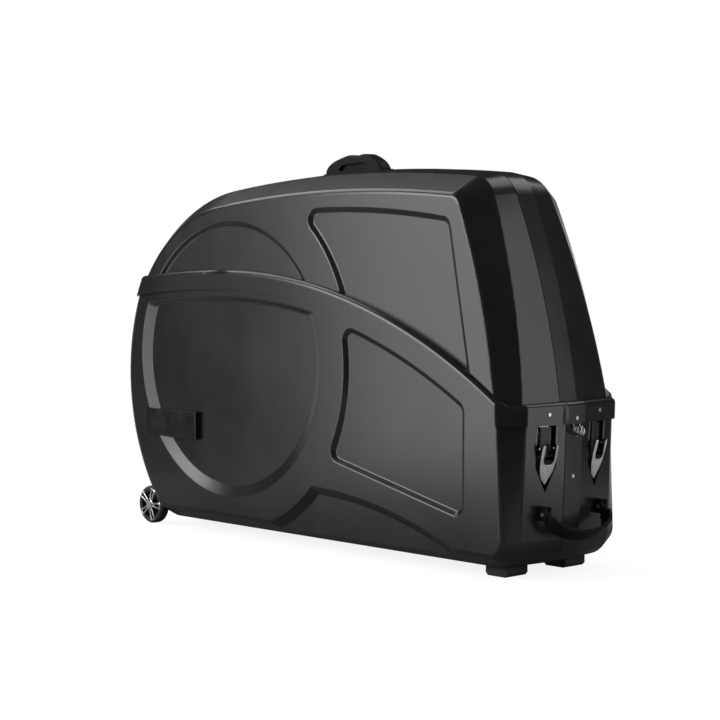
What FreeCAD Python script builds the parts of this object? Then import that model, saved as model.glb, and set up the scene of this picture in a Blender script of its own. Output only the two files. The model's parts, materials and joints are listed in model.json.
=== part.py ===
import FreeCAD, Part
import Sketcher
import math
import os
from types import SimpleNamespace

# Bike travel case: a two-part hard shell on wheels, in millimetres.
# +X points to the latch and tow handle end, +Z up, the ground is z = 0.
# Shell outlines are drawn about the middle of the shell; shell_shift brings the
# middle of the whole box, tow handle included, to x = 0.

V = FreeCAD.Vector
doc = FreeCAD.newDocument("BikeTravelCase")
sheet = doc.addObject("Spreadsheet::Sheet", "Sizes")

DRIVING = {
    # shell outline, side view
    "shell_shift": -21.15,
    "wheel_circle_x": -247.0,
    "wheel_circle_z": 410.0,
    "lid_rear_radius": 400.0,
    "lid_top_radius": 3300.0,
    "lid_top_lean": 8.5,
    "lid_front_radius": 1600.0,
    "lid_front_lean": 8.5,
    "lid_front_x": 628.0,
    "lid_front_z": 374.0,
    "lid_corner_radius": 80.0,
    "tub_rear_x": -133.0,
    "tub_rear_z": 378.0,
    "tub_rear_radius": 520.0,
    "tub_front_x": 647.0,
    "tub_front_z": 315.0,
    "tub_draft": 2.1,
    "tub_face_draft": -3.5,
    "tub_face_widen": 14.5,
    "tub_face_lower": 20.0,
    "tub_floor": 22.0,
    "tub_rear_corner": 45.0,
    "tub_front_corner": 60.0,
    # shell cross-section
    "wall": 4.0,
    "half_width": 176.0,
    "tub_bevel": 40.0,
    "floor_bevel": 26.0,
    "end_bulge": 13.0,
    "strip_half": 26.0,
    "lid_crown": 8.0,
    "lid_bevel": 40.0,
    "bevel_radius": 14.0,
    "lid_shoulder_half": 190.0,
    "lid_face_half": 195.85,
    # parting line and skirt band
    "band_apex_x": -230.0,
    "band_apex_z": 572.5,
    "band_rear_radius": 2550.0,
    "band_front_radius": 1440.0,
    "band_front_z": 315.0,
    "band_height": 45.0,
    "band_proud": 6.0,
    "band_round": 12.0,
    "band_clearance": 1.2,
    "band_roof": 8.0,
    "gasket_height": 5.7,
    "gasket_clearance": 0.3,
    "seam_gap": 2.0,
    "trim_over": 120.0,
    "joint_strip_thick": 2.5,
    "joint_strip_half": 44.0,
    "seam_rivet_high": 206.0,
    "seam_rivet_low": 86.0,
    "seam_rivet_rear_high": 430.0,
    "seam_rivet_rear_low": 250.0,
    "floor_rivet_x": -380.0,
    "floor_rivet_pitch": 250.0,
    "lid_shoulder_along": 0.0213,
    "lid_shoulder_up": 0.118,
    "lid_face_along": 0.012,
    "lid_face_up": 0.05,
    "press_over": 6.0,
    # pressed-in shapes
    "circle_radius": 316.0,
    "ring_radius": 390.0,
    "lid_ring_radius": 402.0,
    "recess_below_band": 18.0,
    "tub_circle_depth": 10.0,
    "tub_circle_slope": 26.0,
    "tub_circle_head": 10.0,
    "lid_circle_depth": 7.0,
    "lid_circle_slope": 8.0,
    "circle_corner": 14.0,
    "panel_depth": 8.0,
    "panel_slope": 10.0,
    "panel_corner": 26.0,
    "panel_front_x": 502.0,
    "panel_floor_z": 198.0,
    "panel_floor_fall": 0.228,
    "lid_panel_top_z": 758.0,
    "lid_panel_crest_x": 120.0,
    "lid_panel_radius": 2300.0,
    "lid_panel_front_x": 498.0,
    "lid_panel_lean": 13.0,
    "pocket_top_z": 146.0,
    "pocket_crest_x": 20.0,
    "pocket_radius": 1175.0,
    "pocket_depth": 15.0,
    "pocket_slope": 20.0,
    "press_radius": 5.0,
    # draw latches
    "latch_y": 78.0,
    "latch_pocket_half": 28.0,
    "latch_pocket_deep": 22.0,
    "latch_pocket_top": 2.0,
    "latch_pocket_side": 85.0,
    "latch_pocket_low": 138.0,
    "latch_plate": 2.0,
    "lever_half": 22.0,
    "lever_wall": 4.0,
    "lever_thick": 12.0,
    "lever_front": 6.0,
    "lever_top": 38.0,
    "lever_tip": 121.0,
    "lever_slot_half": 15.0,
    "lever_slot_low": 80.0,
    "lever_pivot_x": 1.0,
    "lever_pivot_z": 47.0,
    "pivot_radius": 2.5,
    "pivot_clearance": 0.06,
    "hook_pin_x": 3.75,
    "hook_pin_drop": 16.0,
    "hook_pin_radius": 2.0,
    "hook_half": 14.0,
    "hook_thick": 2.5,
    "hook_top": 4.0,
    "hook_nose": 0.6,
    "ear_clearance": 0.6,
    "ear_thick": 2.0,
    "keeper_half": 12.0,
    "keeper_thick": 2.0,
    "keeper_set": 9.5,
    "keeper_lip": 1.9,
    "keeper_up_front": 34.0,
    "keeper_up_rear": 16.0,
    "keeper_down": 14.0,
    "keeper_room": 3.0,
    "rear_latch_lean": 14.0,
    "keeper_rivet_front": 23.0,
    "keeper_rivet_rear": 10.0,
    "keeper_bore_rear": 10.6,
    "keeper_gap": 0.6,
    "keeper_foot": 4.0,
    "nose_height": 3.0,
    "insert_height": 9.5,
    "insert_fit": 0.1,
    "rivet_radius": 2.0,
    "rivet_head": 4.5,
    "rivet_dome": 1.8,
    "band_rivet_seat": 6.1,
    # wheels, feet, handles, badge
    "wheel_radius": 45.0,
    "wheel_width": 26.0,
    "wheel_axle_x": -549.5,
    "wheel_outer": 167.0,
    "wheel_room": 7.0,
    "wheel_side_gap": 3.0,
    "bracket_thick": 6.0,
    "bracket_rivet_x": 27.0,
    "bracket_rivet_z": 28.0,
    "bracket_rivet_low_x": 35.0,
    "bracket_rivet_low_z": 8.0,
    "tyre_thick": 11.0,
    "axle_radius": 5.0,
    "axle_fit": 0.05,
    "hub_inset": 1.0,
    "hub_end_gap": 0.4,
    "hub_lip": 3.0,
    "hub_boss": 12.0,
    "hub_dish": 9.0,
    "tyre_shoulder": 4.0,
    "axle_head": 9.0,
    "axle_head_thick": 4.0,
    "hub_window_in": 13.5,
    "hub_window_out": 27.5,
    "hub_slot_in": 16.0,
    "hub_slot_out": 26.5,
    "hub_slot_half": 1.5,
    "foot_front_x": 574.0,
    "foot_length": 60.0,
    "foot_inner": 59.0,
    "foot_width": 63.0,
    "foot_edge": 6.0,
    "foot_screw_radius": 2.5,
    "foot_screw_head": 4.8,
    "badge_length": 190.0,
    "badge_height": 64.0,
    "badge_thick": 5.0,
    "badge_x": -452.0,
    "badge_z": 250.0,
    "grip_x": 5.0,
    "grip_half": 91.0,
    "grip_width": 36.0,
    "grip_height": 39.0,
    "grip_base": 2.0,
    "grip_edge": 6.0,
    "grip_web": 9.0,
    "grip_screw_x": 70.0,
    "grip_screw_radius": 3.0,
    "grip_screw_head": 6.0,
    "grip_rib_radius": 1.4,
    "tow_y": 88.0,
    "tow_z": 136.0,
    "tow_reach": 60.0,
    "tow_width": 30.0,
    "tow_thick": 8.0,
    "tow_droop": 50.0,
    "tow_pin_radius": 4.0,
    "tow_pin_fit": 0.06,
    "tow_ear": 4.0,
    "tow_ear_gap": 0.5,
    "tow_eye": 10.0,
    "tow_standoff": 13.0,
    "tow_neck": 16.0,
    "tow_edge": 2.5,
    "eye_ring": 9.0,
    "eye_wire": 2.6,
    "eye_plate": 0.8,
    # carrier inside
    "rail_length": 880.0,
    "rail_width": 60.0,
    "rail_height": 32.0,
    "rail_wall": 3.0,
    "rail_flange": 14.0,
    "rail_screw_radius": 2.5,
    "rail_screw_head": 5.0,
    "fork_x": 390.0,
    "fork_height": 96.0,
    "fork_width": 100.0,
    "fork_waist": 32.0,
    "fork_head": 20.0,
    "skewer_radius": 4.5,
    "skewer_reach": 65.0,
    "skewer_fit": 0.05,
    "skewer_tongue": 5.0,
    "skewer_cheek": 4.0,
    "skewer_barrel": 7.0,
    "skewer_pin": 3.0,
    "skewer_arm": 60.0,
    "skewer_nut_radius": 8.0,
    "skewer_nut_length": 12.0,
    "fork_thick": 30.0,
    "cradle_thick": 40.0,
    "cradle_notch": 24.0,
    "cradle_x": -60.0,
    "cradle_height": 70.0,
    "cradle_width": 74.0,
}


class Cell:
    # a sheet value, or a sum or product of them, as a number and as the text that binds it
    def __init__(self, value, text):
        self.value = value
        self.text = text

    def __add__(self, other):
        other = cell_of(other)
        return Cell(self.value + other.value, f"({self.text} + {other.text})")

    def __sub__(self, other):
        other = cell_of(other)
        return Cell(self.value - other.value, f"({self.text} - {other.text})")

    def __rsub__(self, other):
        return cell_of(other) - self

    def __mul__(self, factor):
        factor = cell_of(factor)
        return Cell(self.value * factor.value, f"({self.text} * {factor.text})")

    def __neg__(self):
        return Cell(-self.value, f"(0 - {self.text})")

    __radd__ = __add__
    __rmul__ = __mul__


def cell_of(number):
    return number if isinstance(number, Cell) else Cell(float(number), repr(float(number)))


for row, (alias, number) in enumerate(DRIVING.items(), start=1):
    sheet.set(f"A{row}", str(number))
    sheet.setAlias(f"A{row}", alias)
doc.recompute()
n = SimpleNamespace(**{alias: float(sheet.get(alias)) for alias in DRIVING})
c = SimpleNamespace(**{alias: Cell(getattr(n, alias), f"Sizes.{alias}") for alias in DRIVING})
SHIFT = V(n.shell_shift, 0, 0)
HALF_TURN = math.tan(math.radians(22.5))
pieces = []


# helpers for bound objects

def bind(obj, **sizes):
    for name, cell in sizes.items():
        obj.setExpression(name, cell_of(cell).text)


def piece(obj, label):
    obj.Label = label
    pieces.append(obj)
    return obj


def solid_piece(label, shape):
    obj = doc.addObject("Part::Feature", label)
    obj.Shape = shape
    obj.Placement = FreeCAD.Placement(SHIFT, FreeCAD.Rotation()).multiply(shape.Placement)
    return piece(obj, label)


def new_body(name, placement):
    body = doc.addObject("PartDesign::Body", name)
    body.Placement = placement
    return body


def new_sketch(body, role, offset=0):
    plane = [feature for feature in body.Origin.OriginFeatures if feature.Role == role][0]
    sketch = body.newObject("Sketcher::SketchObject", body.Name + "_sketch")
    sketch.AttachmentSupport = [(plane, "")]
    sketch.MapMode = "FlatFace"
    offset = cell_of(offset)
    sketch.AttachmentOffset = FreeCAD.Placement(V(0, 0, offset.value), FreeCAD.Rotation())
    sketch.setExpression("AttachmentOffset.Base.z", offset.text)
    return sketch


def pin_down(sketch, index, point, across, up):
    for kind, cell in (("DistanceX", cell_of(across)), ("DistanceY", cell_of(up))):
        row = sketch.addConstraint(Sketcher.Constraint(kind, -1, 1, index, point, cell.value))
        sketch.setExpression(f"Constraints[{row}]", cell.text)


def draw_outline(sketch, corners):
    corners = [(cell_of(x), cell_of(y)) for x, y in corners]
    first = sketch.GeometryCount
    count = len(corners)
    for start, end in zip(corners, corners[1:] + corners[:1]):
        ends = [V(x.value, y.value, 0) for x, y in (start, end)]
        sketch.addGeometry(Part.LineSegment(*ends))
    for index in range(count):
        following = first + (index + 1) % count
        sketch.addConstraint(Sketcher.Constraint("Coincident", first + index, 2, following, 1))
    for index, (x, y) in enumerate(corners):
        pin_down(sketch, first + index, 1, x, y)


def draw_circle(sketch, x, y, radius):
    x, y, radius = cell_of(x), cell_of(y), cell_of(radius)
    index = sketch.addGeometry(Part.Circle(V(x.value, y.value, 0), V(0, 0, 1), radius.value))
    row = sketch.addConstraint(Sketcher.Constraint("Radius", index, radius.value))
    sketch.setExpression(f"Constraints[{row}]", radius.text)
    pin_down(sketch, index, 3, x, y)


def extrude(body, kind, sketch, length, symmetric=False, backwards=False):
    feature = body.newObject(f"PartDesign::{kind}", f"{body.Name}_{kind}")
    feature.Profile = sketch
    feature.Midplane = symmetric
    feature.Reversed = backwards
    bind(feature, Length=length)
    return feature


def spin(body, sketch, axis):
    feature = body.newObject("PartDesign::Revolution", f"{body.Name}_turned")
    feature.Profile = sketch
    feature.ReferenceAxis = (sketch, [axis])
    feature.Angle = 360
    return feature


def group(label, members):
    compound = doc.addObject("Part::Compound", label)
    compound.Links = members
    return piece(compound, label)


# outlines of the shell in the side view, as wires in the XZ plane

def on_circle(centre, radius, angle):
    turn = math.radians(angle)
    return centre[0] + radius * math.cos(turn), centre[1] + radius * math.sin(turn)


def bearing(centre, point):
    return math.degrees(math.atan2(point[1] - centre[1], point[0] - centre[0]))


def flat(point):
    return V(point[0], 0, point[1])


def arc_edge(centre, radius, start, end):
    stops = (start, (start + end) / 2, end)
    return Part.Arc(*[flat(on_circle(centre, radius, angle)) for angle in stops]).toShape()


def line_edge(start, end):
    return Part.LineSegment(flat(start), flat(end)).toShape()


def upper_meeting(centre_a, radius_a, centre_b, radius_b):
    across, up = centre_b[0] - centre_a[0], centre_b[1] - centre_a[1]
    apart = math.hypot(across, up)
    along = (radius_a ** 2 - radius_b ** 2 + apart ** 2) / (2 * apart)
    aside = math.sqrt(radius_a ** 2 - along ** 2)
    foot = centre_a[0] + along * across / apart, centre_a[1] + along * up / apart
    sides = [(foot[0] + s * aside * up / apart, foot[1] - s * aside * across / apart) for s in (1, -1)]
    return max(sides, key=lambda point: point[1])


LID_REAR = (n.wheel_circle_x, n.wheel_circle_z)
LID_TOP = on_circle(LID_REAR, n.lid_rear_radius - n.lid_top_radius, 90 + n.lid_top_lean)
LID_FRONT = on_circle((n.lid_front_x, n.lid_front_z), -n.lid_front_radius, n.lid_front_lean)
LID_CORNER = upper_meeting(LID_TOP, n.lid_top_radius - n.lid_corner_radius,
                           LID_FRONT, n.lid_front_radius - n.lid_corner_radius)
TUB_REAR = (n.tub_rear_x, n.tub_rear_z)
LID_FOOT_REAR = n.band_apex_z - n.trim_over
LID_FOOT_FRONT = n.band_front_z - n.trim_over / 8
TUB_HEAD = n.band_apex_z + n.trim_over


def lid_wire(inset):
    rear, top = n.lid_rear_radius - inset, n.lid_top_radius - inset
    corner, front = n.lid_corner_radius - inset, n.lid_front_radius - inset
    foot = 180 - math.degrees(math.asin((LID_FOOT_REAR - LID_REAR[1]) / rear))
    shoulder = 90 + n.lid_top_lean
    brow, cheek = bearing(LID_TOP, LID_CORNER), bearing(LID_FRONT, LID_CORNER)
    toe = math.degrees(math.asin((LID_FOOT_FRONT - LID_FRONT[1]) / front))
    return Part.Wire([
        arc_edge(LID_REAR, rear, foot, shoulder),
        arc_edge(LID_TOP, top, shoulder, brow),
        arc_edge(LID_CORNER, corner, brow, cheek),
        arc_edge(LID_FRONT, front, cheek, toe),
        line_edge(on_circle(LID_FRONT, front, toe), on_circle(LID_REAR, rear, foot)),
    ])


def tub_wire(end_inset, floor_inset, lean=n.tub_draft, widen=0.0, lower=0.0):
    middle = (TUB_REAR[0], TUB_REAR[1] - lower)
    rear = n.tub_rear_radius - end_inset + widen
    floor = n.tub_floor + floor_inset
    heel_r = n.tub_rear_corner - floor_inset
    drop = floor + heel_r - middle[1]
    heel = (middle[0] - math.sqrt((rear - heel_r) ** 2 - drop ** 2), floor + heel_r)
    head = 180 - math.degrees(math.asin((TUB_HEAD - middle[1]) / rear))
    heel_turn = 360 + bearing(middle, heel)
    draft = math.radians(lean)
    toe_r = n.tub_front_corner - floor_inset
    front = n.tub_front_x - end_inset / math.cos(draft)
    rise = floor + toe_r - n.tub_front_z
    toe = (front + (math.sin(draft) * rise - toe_r) / math.cos(draft), floor + toe_r)
    toe_end = on_circle(toe, toe_r, -lean)
    top = (front + math.tan(draft) * (TUB_HEAD - n.tub_front_z), TUB_HEAD)
    return Part.Wire([
        arc_edge(middle, rear, head, heel_turn),
        arc_edge(heel, heel_r, heel_turn, 270),
        line_edge((heel[0], floor), (toe[0], floor)),
        arc_edge(toe, toe_r, 270, 360 - lean),
        line_edge(toe_end, top),
        line_edge(top, on_circle(middle, rear, head)),
    ])


# half shells: sections from the middle plane out to the side face, joined by straight rules

# the lid's shoulder line and side face lean inwards towards the top and the front
LID_SHOULDER = SimpleNamespace(base=-n.lid_shoulder_half, along=n.lid_shoulder_along, up=n.lid_shoulder_up)
LID_FACE = SimpleNamespace(base=-n.lid_face_half, along=n.lid_face_along, up=n.lid_face_up)


def on_plane(shape, plane, shift=0.0):
    lean = FreeCAD.Matrix(1, 0, 0, 0, plane.along, 1, plane.up, plane.base + shift, 0, 0, 1, 0, 0, 0, 0, 1)
    return shape.transformGeometry(lean)


def set_out(wire, distance):
    copy = wire.copy()
    copy.translate(V(0, -distance, 0))
    return copy


def lid_sections(inset):
    mitre = HALF_TURN * inset
    return [
        lid_wire(inset),
        set_out(lid_wire(inset), n.strip_half),
        on_plane(lid_wire(n.lid_crown + inset), LID_SHOULDER, mitre),
        on_plane(lid_wire(n.lid_crown + n.lid_bevel + mitre), LID_FACE, inset),
    ]


def tub_sections(inset):
    mitre = HALF_TURN * inset
    shoulder = n.half_width - n.tub_bevel
    ends, floor = n.end_bulge + n.tub_bevel + mitre, n.floor_bevel + mitre
    face = tub_wire(ends, floor, n.tub_face_draft, n.tub_face_widen, n.tub_face_lower)
    return [
        tub_wire(inset, inset),
        set_out(tub_wire(inset, inset), n.strip_half),
        set_out(tub_wire(n.end_bulge + inset, inset), shoulder - mitre),
        set_out(face, n.half_width - inset),
    ]


def middle_of(edge):
    return Part.Vertex(edge.valueAt((edge.FirstParameter + edge.LastParameter) / 2))


def edges_along(shape, guides, near=0.02):
    return [edge for edge in shape.Edges if any(middle_of(edge).distToShape(g)[0] < near for g in guides)]


def half_loft(sections, radius=0.0):
    bays = [Part.makeLoft(list(pair), True, True) for pair in zip(sections, sections[1:])]
    solid = bays[0].fuse(bays[1:]).removeSplitter().Solids[0]
    if radius:
        bevels = [edge for wire in sections[2:] for edge in wire.Edges[:-1]]
        solid = solid.makeFillet(radius, edges_along(solid, bevels))
    return solid


# the parting line, raised by a distance, as the solid below it

BAND_REAR = (n.band_apex_x, n.band_apex_z - n.band_rear_radius)
BAND_FRONT = (n.band_apex_x, n.band_apex_z - n.band_front_radius)
REACH = 2 * n.tub_rear_radius


def below_band(raised, side=REACH):
    rear, front = n.band_rear_radius + raised, n.band_front_radius + raised
    level = n.band_front_z + raised
    far = 90 + math.degrees(math.asin(REACH / rear))
    landing = math.degrees(math.asin((level - BAND_FRONT[1]) / front))
    start, stop = on_circle(BAND_REAR, rear, far), on_circle(BAND_FRONT, front, landing)
    base = -n.wheel_radius
    face = Part.Face(Part.Wire([
        arc_edge(BAND_REAR, rear, far, 90),
        arc_edge(BAND_FRONT, front, 90, landing),
        line_edge(stop, (REACH, level)),
        line_edge((REACH, level), (REACH, base)),
        line_edge((REACH, base), (start[0], base)),
        line_edge((start[0], base), start),
    ]))
    face.translate(V(0, -side, 0))
    return face.extrude(V(0, 2 * side, 0))


# shapes pressed into the side faces; outlines are faces in the XZ plane

def disc(radius, centre=LID_REAR):
    return Part.Face(Part.Wire(Part.makeCircle(radius, flat(centre), V(0, -1, 0))))


def polygon(corners):
    points = [flat(corner) for corner in corners]
    return Part.Face(Part.makePolygon(points + points[:1]))


def soft_corners(face, radius):
    inner = face.makeOffset2D(-radius)
    return inner.makeOffset2D(radius)


def tapered(outline, slope):
    # the outline at a step of the way from the rim, 0, to the pressed floor, 1
    def outline_at(step, grow=0.0):
        offset = grow - slope * step
        return outline.makeOffset2D(offset) if offset else outline
    return outline_at


def pressing(outline_at, depth, grow=0.0):
    # a tapered plug from just outside the face, y = 0, to the pressed floor at y = depth
    rim = outline_at(-n.press_over / depth, grow).OuterWire
    floor = outline_at(1.0, grow).OuterWire
    return Part.makeLoft([set_out(rim, n.press_over), set_out(floor, -depth)], True, True)


# frames of the latches, mounts and rivets on the shell ends: local x points out, local z up the wall

def turned(axis, angle):
    return FreeCAD.Rotation(axis, angle)


X_AXIS, Y_AXIS, Z_AXIS = V(1, 0, 0), V(0, 1, 0), V(0, 0, 1)
END_YAW = math.degrees(math.atan(n.end_bulge / (n.half_width - n.tub_bevel - n.strip_half)))


def bulge_at(y):
    return max(0.0, abs(y) - n.strip_half) * math.tan(math.radians(END_YAW))


def front_frame(y, z):
    lean = math.radians(n.tub_draft)
    x = n.tub_front_x - bulge_at(y) / math.cos(lean) + math.tan(lean) * (z - n.tub_front_z)
    yaw = math.copysign(END_YAW, y) if abs(y) > n.strip_half else 0.0
    return FreeCAD.Placement(V(x, y, z), turned(Z_AXIS, yaw) * turned(Y_AXIS, n.tub_draft))


def rear_frame(y, z, lean):
    radius = n.tub_rear_radius - bulge_at(y)
    x = TUB_REAR[0] - math.sqrt(radius ** 2 - (z - TUB_REAR[1]) ** 2)
    yaw = math.copysign(END_YAW, y) if abs(y) > n.strip_half else 0.0
    return FreeCAD.Placement(V(x, y, z), turned(Z_AXIS, 180 - yaw) * turned(Y_AXIS, -lean))


def shifted(frame):
    return FreeCAD.Placement(frame.Base + SHIFT, frame.Rotation)


REAR_SPAN = TUB_REAR[0] - n.tub_rear_radius - BAND_REAR[0]
REAR_LEVEL = BAND_REAR[1] + math.sqrt(n.band_rear_radius ** 2 - REAR_SPAN ** 2)
LATCHES = {
    "front_right": front_frame(-n.latch_y, n.band_front_z),
    "front_left": front_frame(n.latch_y, n.band_front_z),
    "rear_right": rear_frame(-n.latch_y, REAR_LEVEL, n.rear_latch_lean),
    "rear_left": rear_frame(n.latch_y, REAR_LEVEL, n.rear_latch_lean),
}


# cutting tools for one side of the shell

def prism(frame, outline, start, end):
    # an outline in the frame's y and z, from start to end along its x
    points = [V(start, y, z) for y, z in outline]
    solid = Part.Face(Part.makePolygon(points + points[:1])).extrude(V(end - start, 0, 0))
    solid.Placement = frame
    return solid


def latch_hollow(frame, grow=0.0):
    side, low = n.latch_pocket_half + grow, n.latch_pocket_low + 1.6 * grow
    top = n.latch_pocket_top + grow
    waist = -n.latch_pocket_side
    shield = [(-side, top), (side, top), (side, waist), (0, -low), (-side, waist)]
    slot_half = n.keeper_half + n.keeper_room + grow
    slot = [(-slot_half, 0), (slot_half, 0), (slot_half, 2 * n.band_height), (-slot_half, 2 * n.band_height)]
    slot_deep = n.keeper_set + n.keeper_thick + n.keeper_room + grow
    over = n.latch_pocket_deep
    return [
        prism(frame, shield, -n.latch_pocket_deep - grow, over),
        prism(frame, slot, -slot_deep, over),
    ]


def wheel_arch(grow=0.0):
    inner = n.wheel_outer - n.wheel_width - n.bracket_thick - 2 * n.wheel_side_gap - grow
    start = V(n.wheel_axle_x, -inner, n.wheel_radius)
    return [Part.makeCylinder(n.wheel_radius + n.wheel_room + grow, n.half_width, start, V(0, -1, 0))]


def rod(frame, radius, start, end):
    solid = Part.makeCylinder(radius, end - start, V(start, 0, 0), X_AXIS)
    solid.Placement = frame
    return solid


def face_of(solid):
    # the side view outline of a solid that was extruded along Y
    sides = [face for face in solid.Faces if abs(face.normalAt(0, 0).y) > 0.999]
    face = min(sides, key=lambda side: side.CenterOfMass.y)
    return face.translated(V(0, -face.CenterOfMass.y, 0))


UNDER_BAND = face_of(below_band(-n.recess_below_band, 1.0))
RING = disc(n.ring_radius)


def tub_circle_at(step, grow=0.0):
    # the wheel circle cut off along the band, where its wall is steeper
    wheel = disc(n.circle_radius + grow - n.tub_circle_slope * step)
    under = face_of(below_band(grow - n.recess_below_band - n.tub_circle_head * step, 1.0))
    return soft_corners(wheel.common(under).Faces[0], n.circle_corner)


def tub_pressings():
    fall = n.panel_floor_fall
    start = n.wheel_circle_x + n.circle_radius
    panel = polygon([
        (start, n.panel_floor_z + fall * (n.wheel_circle_x + n.ring_radius - start)),
        (n.panel_front_x, n.panel_floor_z - fall * (n.panel_front_x - n.wheel_circle_x - n.ring_radius)),
        (n.panel_front_x, n.band_apex_z),
        (start, n.band_apex_z),
    ])
    panel = soft_corners(panel.common(UNDER_BAND).cut(RING).Faces[0], n.panel_corner)
    crest = (n.pocket_crest_x, n.pocket_top_z - n.pocket_radius)
    room = polygon([(n.wheel_circle_x, -n.wheel_radius), (n.tub_front_x, -n.wheel_radius),
                    (n.tub_front_x, n.pocket_top_z), (n.wheel_circle_x, n.pocket_top_z)])
    hollows = disc(n.pocket_radius, crest).common(room).cut(RING).Faces
    hollow = max(hollows, key=lambda face: face.Area)
    return [
        (tub_circle_at, n.tub_circle_depth, n.tub_circle_slope, True),
        (tapered(panel, n.panel_slope), n.panel_depth, n.panel_slope, True),
        (tapered(hollow, n.pocket_slope), n.pocket_depth, n.pocket_slope, False),
    ]


def lid_pressings():
    circle = disc(n.circle_radius)
    lean = math.tan(math.radians(n.lid_panel_lean))
    foot = n.lid_front_z
    top = (n.lid_panel_crest_x, n.lid_panel_top_z - n.lid_panel_radius)
    panel = polygon([
        (n.wheel_circle_x, foot),
        (n.lid_panel_front_x + lean * (n.band_apex_z - foot) / 2, foot),
        (n.lid_panel_front_x - lean * (n.lid_panel_top_z - n.band_apex_z / 2 - foot / 2), n.lid_panel_top_z),
        (n.wheel_circle_x, n.lid_panel_top_z),
    ])
    panel = panel.common(disc(n.lid_panel_radius, top)).cut(disc(n.lid_ring_radius))
    panel = soft_corners(max(panel.Faces, key=lambda face: face.Area), n.panel_corner)
    return [
        (tapered(circle, n.lid_circle_slope), n.lid_circle_depth, n.lid_circle_slope, True),
        (tapered(panel, n.panel_slope), n.panel_depth, n.panel_slope, True),
    ]


def pressed(solid, pressings, to_face, inset=0.0):
    for outline_at, depth, slope, rounded in pressings:
        grow = inset * math.tan(math.atan2(depth, slope) / 2)
        solid = solid.cut(to_face(pressing(outline_at, depth, grow), inset))
        if rounded and not inset:
            rim = to_face(outline_at(0.0).OuterWire, 0.0)
            floor = to_face(set_out(outline_at(1.0).OuterWire, -depth), 0.0)
            edges = edges_along(solid, rim.Edges + floor.Edges, 0.8)
            solid = solid.makeFillet(n.press_radius, edges)
    return solid


def on_tub_face(shape, inset):
    return set_out(shape, n.half_width - inset)


def on_lid_face(shape, inset):
    return on_plane(shape, LID_FACE, inset)


def mirrored(shape):
    return shape.mirror(V(0, 0, 0), Y_AXIS)


def two_shells(half):
    # the seam runs beside the middle strip, which belongs to the left half
    span = 3 * REACH
    cut_at = -n.strip_half
    gap = n.seam_gap / 2
    slab = Part.makeBox(span, span, span, V(-span / 2, cut_at - gap - span, -span / 2))
    strip = Part.makeBox(span, -cut_at - gap, span, V(-span / 2, cut_at + gap, -span / 2))
    right = half.common(slab)
    left = mirrored(half).fuse(half.common(strip)).removeSplitter()
    return right, left


def tub_half(outer):
    frames = [frame for name, frame in LATCHES.items() if name.endswith("right")]
    outer = outer.cut([tool for frame in frames for tool in latch_hollow(frame)] + wheel_arch())
    inner = pressed(half_loft(tub_sections(n.wall)), tub_pressings(), on_tub_face, n.wall)
    inner = inner.cut([tool for frame in frames for tool in latch_hollow(frame, n.wall)] + wheel_arch(n.wall))
    return outer.cut(inner)


RIM = n.band_height - n.band_roof - n.gasket_clearance - n.gasket_height


def skirt_band():
    skin = half_loft(tub_sections(-n.band_proud))
    crest = below_band(n.band_height)
    band = skin.common(crest).cut(below_band(0.0)).Solids[0]
    bevels = [edge for wire in tub_sections(-n.band_proud)[2:] for edge in wire.Edges]
    soft = edges_along(band, bevels)
    for edge in band.Edges:
        middle = middle_of(edge)
        on_crest = middle.distToShape(crest.Shells[0])[0] < 0.02
        if on_crest and middle.Point.y < -1.0 and middle.distToShape(skin.Shells[0])[0] < 0.02:
            soft.append(edge)
    return band.makeFillet(n.band_round, soft)


def lid_half():
    roof = below_band(n.band_height - n.band_roof)
    outer = pressed(half_loft(lid_sections(0.0), n.bevel_radius), lid_pressings(), on_lid_face)
    inner = pressed(half_loft(lid_sections(n.wall)), lid_pressings(), on_lid_face, n.wall)
    room = half_loft(tub_sections(-n.band_clearance)).common(roof)
    return outer.cut(roof).fuse(skirt_band()).cut([inner, room])


# rivets, screws and the holes they need

def rivet(frame, seat, grip):
    head = Part.makeCylinder(n.rivet_head, n.rivet_dome, V(seat, 0, 0), X_AXIS)
    rims = [edge for edge in head.Edges if edge.isClosed()]
    crown = [edge for edge in rims if edge.CenterOfMass.x > seat + n.rivet_dome / 2]
    head = head.makeFillet(n.rivet_dome / 2, crown)
    shank = Part.makeCylinder(n.rivet_radius, grip, V(seat - grip, 0, 0), X_AXIS)
    solid = head.fuse(shank).removeSplitter()
    solid.Placement = frame
    return solid


def rear_lean(z, y=0.0):
    return math.degrees(math.asin((z - TUB_REAR[1]) / (n.tub_rear_radius - bulge_at(y))))


def floor_frame(x):
    return FreeCAD.Placement(V(x, 0, n.tub_floor), turned(Y_AXIS, 90))


def keeper_rivet_frame(name, y):
    if name.startswith("front"):
        return front_frame(y, n.band_front_z + n.keeper_rivet_front)
    level = REAR_LEVEL + n.keeper_rivet_rear
    return rear_frame(y, level, rear_lean(level, y))


def bracket_rivet_frame(side, x, z):
    face = n.wheel_outer - n.wheel_width - 2 * n.wheel_side_gap
    base = V(n.wheel_axle_x + x, side * face, n.wheel_radius + z)
    return FreeCAD.Placement(base, turned(Z_AXIS, side * 90))


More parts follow.
